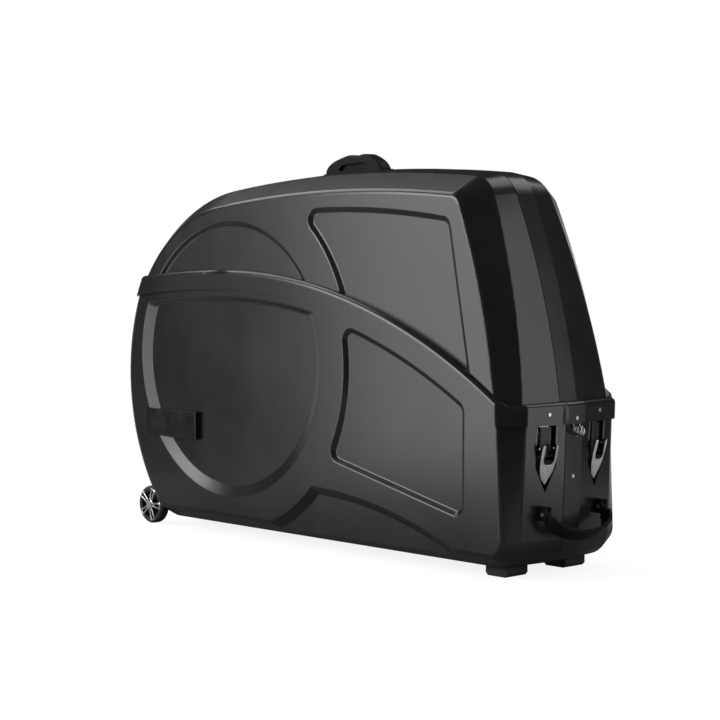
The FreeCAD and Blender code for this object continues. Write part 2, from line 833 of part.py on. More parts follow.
SEAM_RIVETS = [front_frame(0, n.seam_rivet_high), front_frame(0, n.seam_rivet_low)]
SEAM_RIVETS += [rear_frame(0, z, rear_lean(z)) for z in (n.seam_rivet_rear_high, n.seam_rivet_rear_low)]
SEAM_RIVETS += [floor_frame(n.floor_rivet_x + step * n.floor_rivet_pitch) for step in range(4)]
KEEPER_RIVETS = [keeper_rivet_frame(name, frame.Base.y) for name, frame in LATCHES.items()]
EYE_RIVET = front_frame(0, n.band_front_z + n.eye_ring * 1.3)
BRACKET_RIVETS = [
    (n.bracket_rivet_x, n.bracket_rivet_z),
    (n.bracket_rivet_low_x, n.bracket_rivet_low_z),
]
BRACKET_FRAMES = [bracket_rivet_frame(side, x, z) for side in (-1, 1) for x, z in BRACKET_RIVETS]
FOOT_SCREWS = [(n.foot_front_x - n.foot_length * share, side * (n.foot_inner + n.foot_width / 2))
               for share in (0.25, 0.75) for side in (1, -1)]
RAIL_SCREWS = [(n.rail_length * share, side * (n.rail_width + n.rail_flange) / 2)
               for share in (-0.45, 0.0, 0.45) for side in (1, -1)]
LID_LEAN = math.degrees(math.asin((LID_TOP[0] - n.grip_x) / n.lid_top_radius))
GRIP_Z = LID_TOP[1] + n.lid_top_radius * math.cos(math.radians(LID_LEAN))
GRIP_FRAME = FreeCAD.Placement(V(n.grip_x, 0, GRIP_Z), turned(Y_AXIS, -LID_LEAN))
LINED = n.wall + n.joint_strip_thick


def upright(radius, low, high, x, y):
    return Part.makeCylinder(radius, high - low, V(x, y, low))


def grip_bores():
    low, high = -3 * LINED, n.grip_height / 2
    bores = [upright(n.grip_screw_radius, low, high, x, 0) for x in (n.grip_screw_x, -n.grip_screw_x)]
    for bore in bores:
        bore.Placement = GRIP_FRAME
    return bores


seam_bores = [rod(frame, n.rivet_radius, -2 * LINED, n.wall) for frame in SEAM_RIVETS]
floor_low, floor_high = n.tub_floor - n.wall, n.tub_floor + 2 * LINED
floor_bores = [upright(n.foot_screw_radius, floor_low, floor_high, x, y) for x, y in FOOT_SCREWS]
floor_bores += [upright(n.rail_screw_radius, floor_low, floor_high, x, y) for x, y in RAIL_SCREWS]
bracket_bores = [rod(frame, n.rivet_radius, -3 * n.bracket_thick, n.wall) for frame in BRACKET_FRAMES]
tub_bores = seam_bores + floor_bores + bracket_bores
lid_bores = [rod(frame, n.rivet_radius, -n.wall, 3 * n.wall) for frame in KEEPER_RIVETS + [EYE_RIVET]]
lid_bores += grip_bores()


# the four shells, the strips behind their seams, the gasket and the seam rivets

tub_blank = pressed(half_loft(tub_sections(0.0), n.bevel_radius), tub_pressings(), on_tub_face)
tub_tall = tub_half(tub_blank)
tub_right, tub_left = two_shells(tub_tall.common(below_band(RIM)))
solid_piece("tub_right_shell", tub_right.cut(tub_bores))
solid_piece("tub_left_shell", tub_left.cut(tub_bores))
lid_right, lid_left = two_shells(lid_half())
solid_piece("lid_right_shell", lid_right.cut(lid_bores))
solid_piece("lid_left_shell", lid_left.cut(lid_bores))

gasket = tub_tall.common(below_band(RIM + n.gasket_height)).cut(below_band(RIM))
solid_piece("rim_gasket", gasket.fuse(mirrored(gasket)).removeSplitter())


def joint_strip(sections, trim):
    lining = trim(half_loft(sections(n.wall)).cut(half_loft(sections(LINED))))
    wide = n.joint_strip_half
    half = lining.common(Part.makeBox(3 * REACH, wide, 2 * REACH, V(-1.5 * REACH, -wide, 0)))
    return half.fuse(mirrored(half)).removeSplitter()


tub_strip = joint_strip(tub_sections, lambda lining: lining.common(below_band(RIM - n.wall)))
solid_piece("tub_joint_strip", tub_strip.cut(tub_bores))
lid_strip = joint_strip(lid_sections, lambda lining: lining.cut(below_band(n.band_height)))
solid_piece("lid_joint_strip", lid_strip.cut(lid_bores))
seam_rivets = [rivet(frame, 0.0, LINED + n.rivet_radius) for frame in SEAM_RIVETS]
solid_piece("tub_seam_rivets", Part.makeCompound(seam_rivets))


# draw latches

PIVOT_Z = -c.lever_pivot_z
HOOK_Z = -(c.lever_pivot_z + c.hook_pin_drop)
EAR_OUT = c.lever_half + c.ear_clearance + c.ear_thick


def cut_bore(body, x, z, radius, width):
    sketch = new_sketch(body, "XZ_Plane")
    draw_circle(sketch, x, z, radius)
    extrude(body, "Pocket", sketch, width, symmetric=True)


def box_outline(left, right, low, high):
    return [(left, low), (right, low), (right, high), (left, high)]


def shield(half, top, side_low, waist, waist_low, tip):
    left = [(-half, top), (-half, side_low), (-waist, waist_low)]
    return left + [(0, tip)] + [(-y, z) for y, z in reversed(left)]


def latch_base(name, frame):
    body = new_body(f"latch_base_{name}", shifted(frame))
    back = c.latch_plate - c.latch_pocket_deep
    front = c.pivot_radius * 2 - c.lever_pivot_x
    plate = new_sketch(body, "YZ_Plane", -c.latch_pocket_deep)
    draw_outline(plate, box_outline(-EAR_OUT, EAR_OUT, -c.latch_pocket_side, -c.lever_top * 0.5))
    extrude(body, "Pad", plate, c.latch_plate)
    ears = new_sketch(body, "XZ_Plane")
    around = c.pivot_radius * 3
    draw_outline(ears, box_outline(back, front, PIVOT_Z - around, PIVOT_Z + around))
    extrude(body, "Pad", ears, EAR_OUT * 2, symmetric=True)
    between = new_sketch(body, "XZ_Plane")
    draw_outline(between, box_outline(back, front * 2, PIVOT_Z * 2, 0))
    extrude(body, "Pocket", between, (EAR_OUT - c.ear_thick) * 2, symmetric=True)
    cut_bore(body, -c.lever_pivot_x, PIVOT_Z, c.pivot_radius, EAR_OUT * 3)
    piece(body, f"latch_base_{name}")


def latch_lever(name, frame):
    body = new_body(f"latch_lever_{name}", shifted(frame))
    back, shoulder = c.lever_front - c.lever_thick, -c.lever_slot_low
    inner = c.lever_half - c.lever_wall
    blank = new_sketch(body, "YZ_Plane", back)
    draw_outline(blank, shield(c.lever_half, -c.lever_top, shoulder, c.lever_half * 0.62,
                               shoulder * 0.3 - c.lever_tip * 0.7, -c.lever_tip))
    extrude(body, "Pad", blank, c.lever_thick)
    hollow = new_sketch(body, "YZ_Plane", back)
    draw_outline(hollow, shield(inner, 0, shoulder, inner * 0.6,
                                shoulder * 0.4 - c.lever_tip * 0.6 + c.lever_wall,
                                c.lever_wall * 2 - c.lever_tip))
    extrude(body, "Pocket", hollow, c.lever_thick - c.lever_wall, backwards=True)
    slot = new_sketch(body, "YZ_Plane", back)
    draw_outline(slot, box_outline(-c.lever_slot_half, c.lever_slot_half, shoulder, 0))
    extrude(body, "Pocket", slot, c.lever_thick * 2, backwards=True)
    cut_bore(body, -c.lever_pivot_x, PIVOT_Z, c.pivot_radius + c.pivot_clearance, c.lever_half * 3)
    cut_bore(body, -c.hook_pin_x, HOOK_Z, c.hook_pin_radius + c.pivot_clearance, c.lever_half * 3)
    piece(body, f"latch_lever_{name}")


def lever_insert(name, frame):
    body = new_body(f"lever_insert_{name}", shifted(frame))
    half, low = c.lever_slot_half - c.insert_fit, c.insert_fit - c.lever_slot_low
    sketch = new_sketch(body, "YZ_Plane", c.lever_front - c.lever_wall * 1.5)
    draw_outline(sketch, box_outline(-half, half, low, low + c.insert_height))
    extrude(body, "Pad", sketch, c.lever_wall * 1.4)
    piece(body, f"lever_insert_{name}")


def draw_hook(name, frame):
    body = new_body(f"draw_hook_{name}", shifted(frame))
    inner, outer = -c.hook_pin_x - c.hook_thick * 0.5, c.hook_thick * 0.5 - c.hook_pin_x
    nose_high, nose_low = -c.hook_top - c.nose_height, -c.hook_top - c.nose_height * 2
    strap = new_sketch(body, "XZ_Plane")
    draw_outline(strap, [
        (outer, HOOK_Z), (outer, -c.hook_top), (inner, -c.hook_top), (inner, nose_high),
        (inner - c.hook_nose, nose_high), (inner - c.hook_nose, nose_low), (inner, nose_low), (inner, HOOK_Z),
    ])
    extrude(body, "Pad", strap, c.hook_half * 2, symmetric=True)
    journal = c.lever_half - c.pivot_radius * 0.5
    for radius, half in ((c.hook_pin_radius * 1.6, c.hook_half), (c.hook_pin_radius, journal)):
        pin = new_sketch(body, "XZ_Plane")
        draw_circle(pin, -c.hook_pin_x, HOOK_Z, radius)
        extrude(body, "Pad", pin, half * 2, symmetric=True)
    piece(body, f"draw_hook_{name}")


def keeper(name, frame):
    body = new_body(f"keeper_{name}", shifted(frame))
    at_front = name.startswith("front")
    up = c.keeper_up_front if at_front else c.keeper_up_rear
    face, leg, thick = -c.keeper_gap, -c.keeper_set, c.keeper_thick
    lip, low, foot = c.keeper_lip - c.keeper_set, -c.keeper_down, c.keeper_foot
    sketch = new_sketch(body, "XZ_Plane")
    draw_outline(sketch, [
        (face, foot), (face, up), (face - thick, up), (face - thick, foot + thick),
        (leg - thick, foot + thick), (leg - thick, low), (lip, low), (lip, low + c.nose_height),
        (leg, low + c.nose_height), (leg, foot),
    ])
    extrude(body, "Pad", sketch, c.keeper_half * 2, symmetric=True)
    bore = new_sketch(body, "YZ_Plane")
    draw_circle(bore, 0, c.keeper_rivet_front if at_front else c.keeper_bore_rear, c.rivet_radius * 1.4)
    extrude(body, "Pocket", bore, c.keeper_set, symmetric=True)
    return body


def pivot_pin(frame, side):
    pin = doc.addObject("Part::Cylinder", "pivot_pin")
    length = c.lever_wall + c.ear_clearance + c.ear_thick * 1.5
    start = n.lever_half - n.lever_wall
    base = V(-n.lever_pivot_x, side * start, -n.lever_pivot_z)
    seat = FreeCAD.Placement(base, turned(X_AXIS, -90 * side))
    pin.Placement = shifted(frame).multiply(seat)
    bind(pin, Radius=c.pivot_radius, Height=length)
    return pin


for name, frame in LATCHES.items():
    latch_base(name, frame)
    latch_lever(name, frame)
    lever_insert(name, frame)
    draw_hook(name, frame)
group("latch_pivot_pins", [pivot_pin(frame, side) for frame in LATCHES.values() for side in (1, -1)])
group("latch_keepers", [keeper(name, frame) for name, frame in LATCHES.items()])
keeper_grip = n.band_rivet_seat + n.keeper_gap + n.keeper_thick + n.rivet_radius
keeper_rivets = [rivet(frame, n.band_rivet_seat, keeper_grip) for frame in KEEPER_RIVETS]
solid_piece("keeper_rivets", Part.makeCompound(keeper_rivets))


# padlock eyes, side by side under the band

LOCK_FRAME = front_frame(0, n.band_front_z)
EYE_OUT = n.eye_ring + n.eye_wire


def eye_ring(y, z):
    ring = Part.makeTorus(n.eye_ring, n.eye_wire, V(EYE_OUT, y, z), Y_AXIS)
    ring.Placement = LOCK_FRAME
    return ring


def eye_plate(start, thick, y, wide, low, high):
    outline = box_outline(y - wide / 2, y + wide / 2, low, high)
    return prism(LOCK_FRAME, outline, start, start + thick)


upper_y, lower_y = -n.eye_wire * 1.2, n.eye_wire * 2.2
tongue_x = (n.band_clearance - n.eye_plate) / 2
tongue = eye_plate(tongue_x, n.eye_plate, 0, 5 * n.eye_wire, n.eye_plate, 1.6 * EYE_OUT)
tail = eye_plate(tongue_x, n.eye_plate, upper_y, 2.4 * n.eye_wire, -1.4 * EYE_OUT, 2 * n.eye_plate)
upper_eye = eye_ring(upper_y, -EYE_OUT).fuse([tongue, tail]).removeSplitter()
solid_piece("padlock_eye_upper", upper_eye.cut(rod(EYE_RIVET, n.rivet_radius, -n.wall, n.wall)))
foot_y = lower_y + 1.7 * n.eye_wire
foot = eye_plate(0.0, 2 * n.eye_plate, foot_y, 4 * n.eye_wire, -2.4 * EYE_OUT, -0.2 * EYE_OUT)
lower_z = -1.3 * EYE_OUT
neck = eye_plate(0.0, 2 * n.eye_wire, lower_y, 1.6 * n.eye_wire, lower_z - n.eye_wire, lower_z + n.eye_wire)
solid_piece("padlock_eye_lower", eye_ring(lower_y, lower_z).fuse([foot, neck]).removeSplitter())
eye_grip = n.band_proud - n.band_clearance + n.eye_plate
solid_piece("padlock_eye_rivet", rivet(EYE_RIVET, n.band_proud, eye_grip))


# wheels: local z runs outwards along the axle

def turned_body(name, placement, corners):
    body = new_body(name, placement)
    profile = new_sketch(body, "XZ_Plane")
    draw_outline(profile, corners)
    spin(body, profile, "V_Axis")
    return body


def around(radius, angle):
    return radius * math.cos(math.radians(angle)), radius * math.sin(math.radians(angle))


# shares of the wheel's radius
BRACKET_OUTLINE = [
    (-0.26, -0.25), (0.12, -0.34), (0.93, -0.11), (0.97, 0.38), (0.68, 0.85), (0.1, 0.9), (-0.26, 0.29),
]


def wheel(label, side):
    inner = side * (n.wheel_outer - n.wheel_width)
    base = V(n.wheel_axle_x, inner, n.wheel_radius)
    frame = FreeCAD.Placement(base + SHIFT, turned(X_AXIS, -90 * side))
    rim, width = c.wheel_radius - c.tyre_thick, c.wheel_width
    shoulder = c.wheel_radius - c.tyre_shoulder
    piece(turned_body(f"wheel_tyre_{label}", frame, [
        (rim, 0), (shoulder, 0), (c.wheel_radius, c.tyre_shoulder),
        (c.wheel_radius, width - c.tyre_shoulder), (shoulder, width), (rim, width),
    ]), f"wheel_tyre_{label}")
    bore, low, high = c.axle_radius + c.axle_fit, c.hub_inset, width - c.hub_inset
    lip, floor = rim - c.hub_lip, width - c.hub_inset - c.hub_dish
    hub = turned_body(f"wheel_hub_{label}", frame, [
        (bore, low), (rim, low), (rim, high), (lip, high), (lip - c.hub_inset * 2, floor),
        (c.hub_boss, floor), (c.hub_boss - c.hub_inset, high), (bore, high),
    ])
    window = new_sketch(hub, "XY_Plane")
    edges = ((c.hub_window_in, 16), (c.hub_window_out, 12), (c.hub_window_out, 60), (c.hub_window_in, 56))
    draw_outline(window, [around(radius, angle) for radius, angle in edges])
    slot = new_sketch(hub, "XY_Plane")
    draw_outline(slot, box_outline(c.hub_slot_in, c.hub_slot_out, -c.hub_slot_half, c.hub_slot_half))
    openings = [extrude(hub, "Pocket", sketch, width * 4, symmetric=True) for sketch in (window, slot)]
    doc.recompute()
    spokes = hub.newObject("PartDesign::PolarPattern", f"wheel_hub_{label}_spokes")
    spokes.Originals = openings
    spokes.Axis = (window, ["N_Axis"])
    spokes.Angle = 360
    spokes.Occurrences = 5
    hub.Tip = spokes
    piece(hub, f"wheel_hub_{label}")
    seat = high + c.hub_end_gap
    plate = -c.wheel_side_gap * 2
    end, cap = plate - c.bracket_thick, seat + c.axle_head_thick
    piece(turned_body(f"wheel_axle_{label}", frame, [
        (0, end), (c.axle_radius, end), (c.axle_radius, seat),
        (c.axle_head, seat), (c.axle_head, cap), (0, cap),
    ]), f"wheel_axle_{label}")
    bracket = new_body(f"wheel_bracket_{label}", frame)
    outline = new_sketch(bracket, "XY_Plane", plate)
    span, rise = c.wheel_radius, c.wheel_radius * float(-side)
    draw_outline(outline, [(span * x, rise * z) for x, z in BRACKET_OUTLINE])
    extrude(bracket, "Pad", outline, c.bracket_thick, backwards=True)
    boss = new_sketch(bracket, "XY_Plane", plate)
    draw_circle(boss, 0, 0, c.axle_head)
    extrude(bracket, "Pad", boss, low - c.hub_end_gap - plate)
    for x, z, radius in [
        (0, 0, c.axle_radius),
        (c.bracket_rivet_x, c.bracket_rivet_z, c.rivet_radius),
        (c.bracket_rivet_low_x, c.bracket_rivet_low_z, c.rivet_radius),
    ]:
        hole = new_sketch(bracket, "XY_Plane")
        draw_circle(hole, x, z * float(-side), radius)
        extrude(bracket, "Pocket", hole, width * 4, symmetric=True)
    piece(bracket, f"wheel_bracket_{label}")


wheel("right", -1)
wheel("left", 1)
bracket_grip = n.bracket_thick + n.wall + n.rivet_radius
bracket_rivets = [rivet(frame, 0.0, bracket_grip) for frame in BRACKET_FRAMES]
solid_piece("bracket_rivets", Part.makeCompound(bracket_rivets))


# feet and screws; a screw's head lies below its seat when its tip is above, and the other way round

def standing(x, y):
    return FreeCAD.Placement(V(x, y, 0) + SHIFT, FreeCAD.Rotation())


def screw(name, placement, radius, head, seat, tip):
    crown = seat - radius if tip.value > seat.value else seat + radius
    return turned_body(name, placement, [
        (0, crown), (head, crown), (head, seat), (radius, seat), (radius, tip), (0, tip),
    ])


def rest_foot(label, side):
    base = V(n.foot_front_x - n.foot_length, side * (n.foot_inner + n.foot_width / 2), 0)
    body = new_body(f"rest_foot_{label}", FreeCAD.Placement(base + SHIFT, FreeCAD.Rotation()))
    edge, length, top = c.foot_edge, c.foot_length, c.tub_floor
    block = new_sketch(body, "XZ_Plane")
    left = [(0, top), (0, edge), (edge, 0)]
    draw_outline(block, left + [(length - x, z) for x, z in reversed(left)])
    extrude(body, "Pad", block, c.foot_width, symmetric=True)
    for share in (0.25, 0.75):
        for radius, depth in ((c.foot_screw_radius, top * 3), (c.foot_screw_head, top)):
            hole = new_sketch(body, "XY_Plane")
            draw_circle(hole, length * share, 0, radius)
            extrude(body, "Pocket", hole, depth, symmetric=True)
    piece(body, f"rest_foot_{label}")


def foot_screw(x, y):
    seat, tip = c.tub_floor * 0.5, c.tub_floor + c.wall
    return screw("foot_screw", standing(x, y), c.foot_screw_radius, c.foot_screw_head, seat, tip)


rest_foot("right", -1)
rest_foot("left", 1)
group("foot_screws", [foot_screw(x, y) for x, y in FOOT_SCREWS])


# top handle: base that follows the lid, moulded grip with two lobes, screws from inside

def in_grip_frame(shape):
    shape.Placement = GRIP_FRAME
    return shape


def side_outline(points):
    curve = Part.BSplineCurve()
    curve.interpolate([V(x, 0, z) for x, z in points])
    ends = Part.LineSegment(curve.EndPoint, curve.StartPoint)
    return Part.Face(Part.Wire([curve.toShape(), ends.toShape()]))


def top_handle():
    half, wide, high, base = n.grip_half, n.grip_width, n.grip_height, n.grip_base
    lid_skin = half_loft(lid_sections(0.0))
    corner = V(-half - base, -wide / 2 - base, -2 * base)
    plate = Part.makeBox(2 * half + 2 * base, wide + 2 * base, 3 * base, corner)
    plate = in_grip_frame(plate).cut([lid_skin, mirrored(lid_skin)] + grip_bores())
    solid_piece("top_handle_base", plate)
    outline = side_outline([(half * x, base + (high - base) * z) for x, z in GRIP_OUTLINE])
    grip = outline.translated(V(0, -wide / 2, 0)).extrude(V(0, wide, 0))
    long_edges = [edge for edge in grip.Edges if edge.Length > 2 * half + base]
    grip = grip.makeFillet(n.grip_edge, [edge for edge in long_edges if abs(edge.CenterOfMass.y) > wide / 4])
    pinch = side_outline([(half * x, base + (high - base) * z) for x, z in GRIP_HOLLOW])
    for side in (1, -1):
        hollow = pinch.translated(V(0, side * n.grip_web, 0)).extrude(V(0, side * wide / 2, 0))
        grip = grip.cut(hollow)
    for step in range(4):
        start = V(half * (0.08 * step - 0.86), -wide / 2, base + (high - base) * (0.11 * step + 0.34))
        grip = grip.cut(Part.makeCylinder(n.grip_rib_radius, wide, start, Y_AXIS))
    solid_piece("top_handle_grip", in_grip_frame(grip).cut(grip_bores()))


def grip_screw(side):
    seat = -(c.wall + c.joint_strip_thick + c.grip_base * 0.5)
    place = FreeCAD.Placement(SHIFT, FreeCAD.Rotation()).multiply(GRIP_FRAME)
    place = place.multiply(FreeCAD.Placement(V(side * n.grip_screw_x, 0, 0), FreeCAD.Rotation()))
    return screw("grip_screw", place, c.grip_screw_radius, c.grip_screw_head, seat, c.grip_height * 0.4)


# shares of the grip's half length and height
GRIP_OUTLINE = [(-1, 0), (-0.98, 0.2), (-0.8, 0.6), (-0.4, 0.91), (-0.02, 1.0), (0.13, 0.93), (0.34, 1.0),
                (0.66, 0.78), (0.93, 0.3), (1, 0)]
GRIP_HOLLOW = [(-0.5, 0.1), (-0.44, 0.34), (-0.2, 0.48), (0.2, 0.5), (0.54, 0.36), (0.6, 0.1)]
top_handle()
group("top_handle_screws", [grip_screw(side) for side in (1, -1)])


# tow handle: hinged bow between two clevis mounts

TOW_SEAT = front_frame(n.tow_y, n.tow_z)
TOW_X = TOW_SEAT.Base.x + n.tow_standoff


def bow_slab(reach, half, deep, start):
    # straight sides up to the neck, then half an ellipse
    neck = n.tow_neck
    ellipse = Part.Ellipse(V(neck, half, 0), V(reach, 0, 0), V(neck, 0, 0))
    corners = [V(neck, -half, 0), V(start, -half, 0), V(start, half, 0), V(neck, half, 0)]
    sides = [Part.makeLine(a, b) for a, b in zip(corners, corners[1:])]
    outline = Part.Wire([Part.ArcOfEllipse(ellipse, 0, math.pi).toShape()] + sides)
    return Part.Face(outline).extrude(V(0, 0, deep)).translated(V(0, 0, -deep / 2))


def tow_strap():
    half, thick, wide = n.tow_y + n.tow_thick / 2, n.tow_thick, n.tow_width
    bow = bow_slab(n.tow_reach + thick / 2, half, wide, 0.0)
    bow = bow.cut(bow_slab(n.tow_reach - thick / 2, half - thick, 2 * wide, -thick))
    for low in (n.tow_eye, -n.tow_eye - wide):
        bow = bow.cut(Part.makeBox(n.tow_neck, 4 * half, wide, V(0, -2 * half, low)))
    eyes = [Part.makeCylinder(n.tow_eye, thick, V(0, y - thick / 2, 0), Y_AXIS) for y in (n.tow_y, -n.tow_y)]
    bow = bow.fuse(eyes).removeSplitter()
    bore = n.tow_pin_radius + n.tow_pin_fit
    bow = bow.cut(Part.makeCylinder(bore, 4 * half, V(0, -2 * half, 0), Y_AXIS))
    bow.Placement = FreeCAD.Placement(V(TOW_X, 0, n.tow_z), turned(Y_AXIS, n.tow_droop))
    return bow


def tow_mount(side):
    ear = n.tow_thick / 2 + n.tow_ear_gap
    wide = ear + n.tow_ear
    seat = front_frame(side * n.tow_y, n.tow_z)
    y, high = side * n.tow_y, n.tow_eye + n.tow_ear
    corner = V(seat.Base.x - n.tow_standoff, y - wide, n.tow_z - high)
    block = Part.makeBox(2 * n.tow_standoff + n.tow_eye, 2 * wide, 2 * high, corner)
    wall = 4 * n.tow_standoff
    behind = prism(seat, box_outline(-wall, wall, -wall, wall), -wall, 0.0)
    gap_start = V(TOW_X - n.tow_eye - n.tow_ear_gap, y - ear, n.tow_z - wall)
    gap = Part.makeBox(wall, 2 * ear, 2 * wall, gap_start)
    bore = Part.makeCylinder(n.tow_pin_radius, 4 * wide, V(TOW_X, y - 2 * wide, n.tow_z), Y_AXIS)
    return block.cut([behind, gap, bore])


def tow_pin(side):
    pin = doc.addObject("Part::Cylinder", "tow_pin")
    length = c.tow_thick + c.tow_ear_gap * 2 + c.tow_ear * 2 + c.tow_edge
    start = side * n.tow_y - length.value / 2
    pin.Placement = FreeCAD.Placement(V(TOW_X, start, n.tow_z) + SHIFT, turned(X_AXIS, -90))
    bind(pin, Radius=c.tow_pin_radius, Height=length)
    return pin


solid_piece("tow_handle_strap", tow_strap())
solid_piece("tow_mount_right", tow_mount(-1))
solid_piece("tow_mount_left", tow_mount(1))
group("tow_handle_pins", [tow_pin(side) for side in (1, -1)])


# badge plates, bare, standing on the wheel circle's sloped edge

def badge():
    face = n.half_width + n.badge_thick
    corner = V(n.badge_x - n.badge_length / 2, -face, n.badge_z - n.badge_height / 2)
    deep = n.badge_thick + n.tub_circle_depth + n.wall
    plate = Part.makeBox(n.badge_length, deep, n.badge_height, corner)
    front = [edge for edge in plate.Edges if edge.CenterOfMass.y < 0.01 - face]
    plate = plate.makeFillet(n.badge_thick / 2, front)
    return max(plate.cut(tub_blank).Solids, key=lambda solid: solid.Volume)


badge_right = badge()
solid_piece("badge_plate_right", badge_right)
solid_piece("badge_plate_left", mirrored(badge_right))


# carrier inside: rail, fork mount with quick-release skewer, bottom bracket cradle

BASE = c.tub_floor + c.wall + c.joint_strip_thick
TOP = BASE + c.rail_height


def shell_body(name, x):
    return new_body(name, standing(x, 0))


def base_rail():
    body = shell_body("base_rail", 0)
    web, edge, wall = c.rail_width * 0.5, c.rail_width * 0.5 + c.rail_flange, c.rail_wall
    section = new_sketch(body, "YZ_Plane")
    inside = [(web - wall, TOP - wall), (web - wall, BASE)]
    right = inside + [(edge, BASE), (edge, BASE + wall), (web, BASE + wall), (web, TOP)]
    draw_outline(section, right + [(-y, z) for y, z in reversed(right)])
    extrude(body, "Pad", section, c.rail_length, symmetric=True)
    for share in (-0.45, 0.0, 0.45):
        for side in (0.5, -0.5):
            hole = new_sketch(body, "XY_Plane")
            across = (c.rail_width + c.rail_flange) * side
            draw_circle(hole, c.rail_length * share, across, c.rail_screw_radius)
            extrude(body, "Pocket", hole, TOP * 3, symmetric=True)
    piece(body, "base_rail")


def rail_screw(x, y):
    seat = BASE + c.rail_wall
    return screw("rail_screw", standing(x, y), c.rail_screw_radius, c.rail_screw_head, seat, c.tub_floor)


SKEWER_Z = TOP + c.fork_height - c.fork_head * 0.5
SKEWER_PIVOT = -(c.skewer_reach + c.skewer_barrel * 1.1)


def fork_mount():
    body = shell_body("fork_mount", n.fork_x)
    foot, waist, head = c.rail_width * 0.5, c.fork_waist * 0.5, c.fork_width * 0.5
    crown = TOP + c.fork_height
    right = [(foot, TOP), (foot, TOP + c.fork_height * 0.1), (waist, TOP + c.fork_height * 0.25),
             (waist, crown - c.fork_head * 1.5), (head, crown - c.fork_head), (head, crown)]
    face = new_sketch(body, "YZ_Plane")
    draw_outline(face, right + [(-y, z) for y, z in reversed(right)])
    extrude(body, "Pad", face, c.fork_thick, symmetric=True)
    cut_bore(body, 0, SKEWER_Z, c.skewer_radius, c.fork_width * 2)
    piece(body, "fork_mount")


def fork_skewer():
    body = shell_body("fork_skewer", n.fork_x)
    shaft = new_sketch(body, "XZ_Plane")
    draw_circle(shaft, 0, SKEWER_Z, c.skewer_radius)
    extrude(body, "Pad", shaft, c.skewer_reach * 2, symmetric=True)
    tongue = new_sketch(body, "YZ_Plane")
    reach, half = -c.skewer_reach, c.skewer_tongue
    draw_outline(tongue, box_outline(reach - c.skewer_barrel * 2, reach, SKEWER_Z - half, SKEWER_Z + half))
    extrude(body, "Pad", tongue, c.skewer_tongue, symmetric=True)
    eye = new_sketch(body, "YZ_Plane")
    draw_circle(eye, SKEWER_PIVOT, SKEWER_Z, c.skewer_pin + c.skewer_fit)
    extrude(body, "Pocket", eye, c.skewer_barrel * 4, symmetric=True)
    piece(body, "fork_skewer")


def skewer_nut():
    body = shell_body("skewer_nut", n.fork_x)
    mouth = c.skewer_nut_length - c.skewer_radius - c.skewer_reach
    blank = new_sketch(body, "XZ_Plane", mouth)
    draw_circle(blank, 0, SKEWER_Z, c.skewer_nut_radius)
    extrude(body, "Pad", blank, c.skewer_nut_length, backwards=True)
    bore = new_sketch(body, "XZ_Plane", mouth)
    draw_circle(bore, 0, SKEWER_Z, c.skewer_radius)
    extrude(body, "Pocket", bore, c.skewer_nut_length - c.skewer_radius)
    piece(body, "skewer_nut")


def skewer_lever():
    body = shell_body("skewer_lever", n.fork_x)
    y = SKEWER_PIVOT
    wide = c.skewer_tongue * 1.12 + c.skewer_cheek * 2
    barrel = new_sketch(body, "YZ_Plane")
    draw_circle(barrel, y, SKEWER_Z, c.skewer_barrel)
    extrude(body, "Pad", barrel, wide, symmetric=True)
    arm = new_sketch(body, "YZ_Plane")
    half = c.skewer_pin
    draw_outline(arm, box_outline(y - half, y + half, SKEWER_Z, SKEWER_Z + c.skewer_arm))
    extrude(body, "Pad", arm, wide, symmetric=True)
    slot = new_sketch(body, "YZ_Plane")
    draw_circle(slot, y, SKEWER_Z, c.skewer_barrel * 1.3)
    extrude(body, "Pocket", slot, c.skewer_tongue * 1.12, symmetric=True)
    pin = new_sketch(body, "YZ_Plane")
    draw_circle(pin, y, SKEWER_Z, c.skewer_pin)
    extrude(body, "Pad", pin, wide, symmetric=True)
    piece(body, "skewer_lever")


def bracket_cradle():
    body = shell_body("bottom_bracket_cradle", n.cradle_x)
    half, crown = c.cradle_width * 0.5, TOP + c.cradle_height
    face = new_sketch(body, "YZ_Plane")
    draw_outline(face, box_outline(-half, half, TOP, crown))
    extrude(body, "Pad", face, c.cradle_thick, symmetric=True)
    notch = new_sketch(body, "YZ_Plane")
    draw_circle(notch, 0, crown, c.cradle_notch)
    extrude(body, "Pocket", notch, c.cradle_thick * 2, symmetric=True)
    piece(body, "bottom_bracket_cradle")


base_rail()
group("rail_screws", [rail_screw(x, y) for x, y in RAIL_SCREWS])
fork_mount()
fork_skewer()
skewer_nut()
skewer_lever()
bracket_cradle()


# every object computed, every piece a valid solid, then one file per piece

doc.recompute()
for obj in doc.Objects:
    if "Invalid" in obj.State or "Error" in obj.State:
        raise RuntimeError(f"{obj.Label} did not compute")
for obj in pieces:
    if obj.Shape.isNull() or not obj.Shape.isValid() or not obj.Shape.Solids:
        raise RuntimeError(f"{obj.Label} is not a valid solid")
os.makedirs("parts", exist_ok=True)
for obj in pieces:
    obj.Shape.exportStep(f"parts/{obj.Label}.step")
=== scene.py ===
import json
import math

import bpy
from mathutils import Matrix, Vector


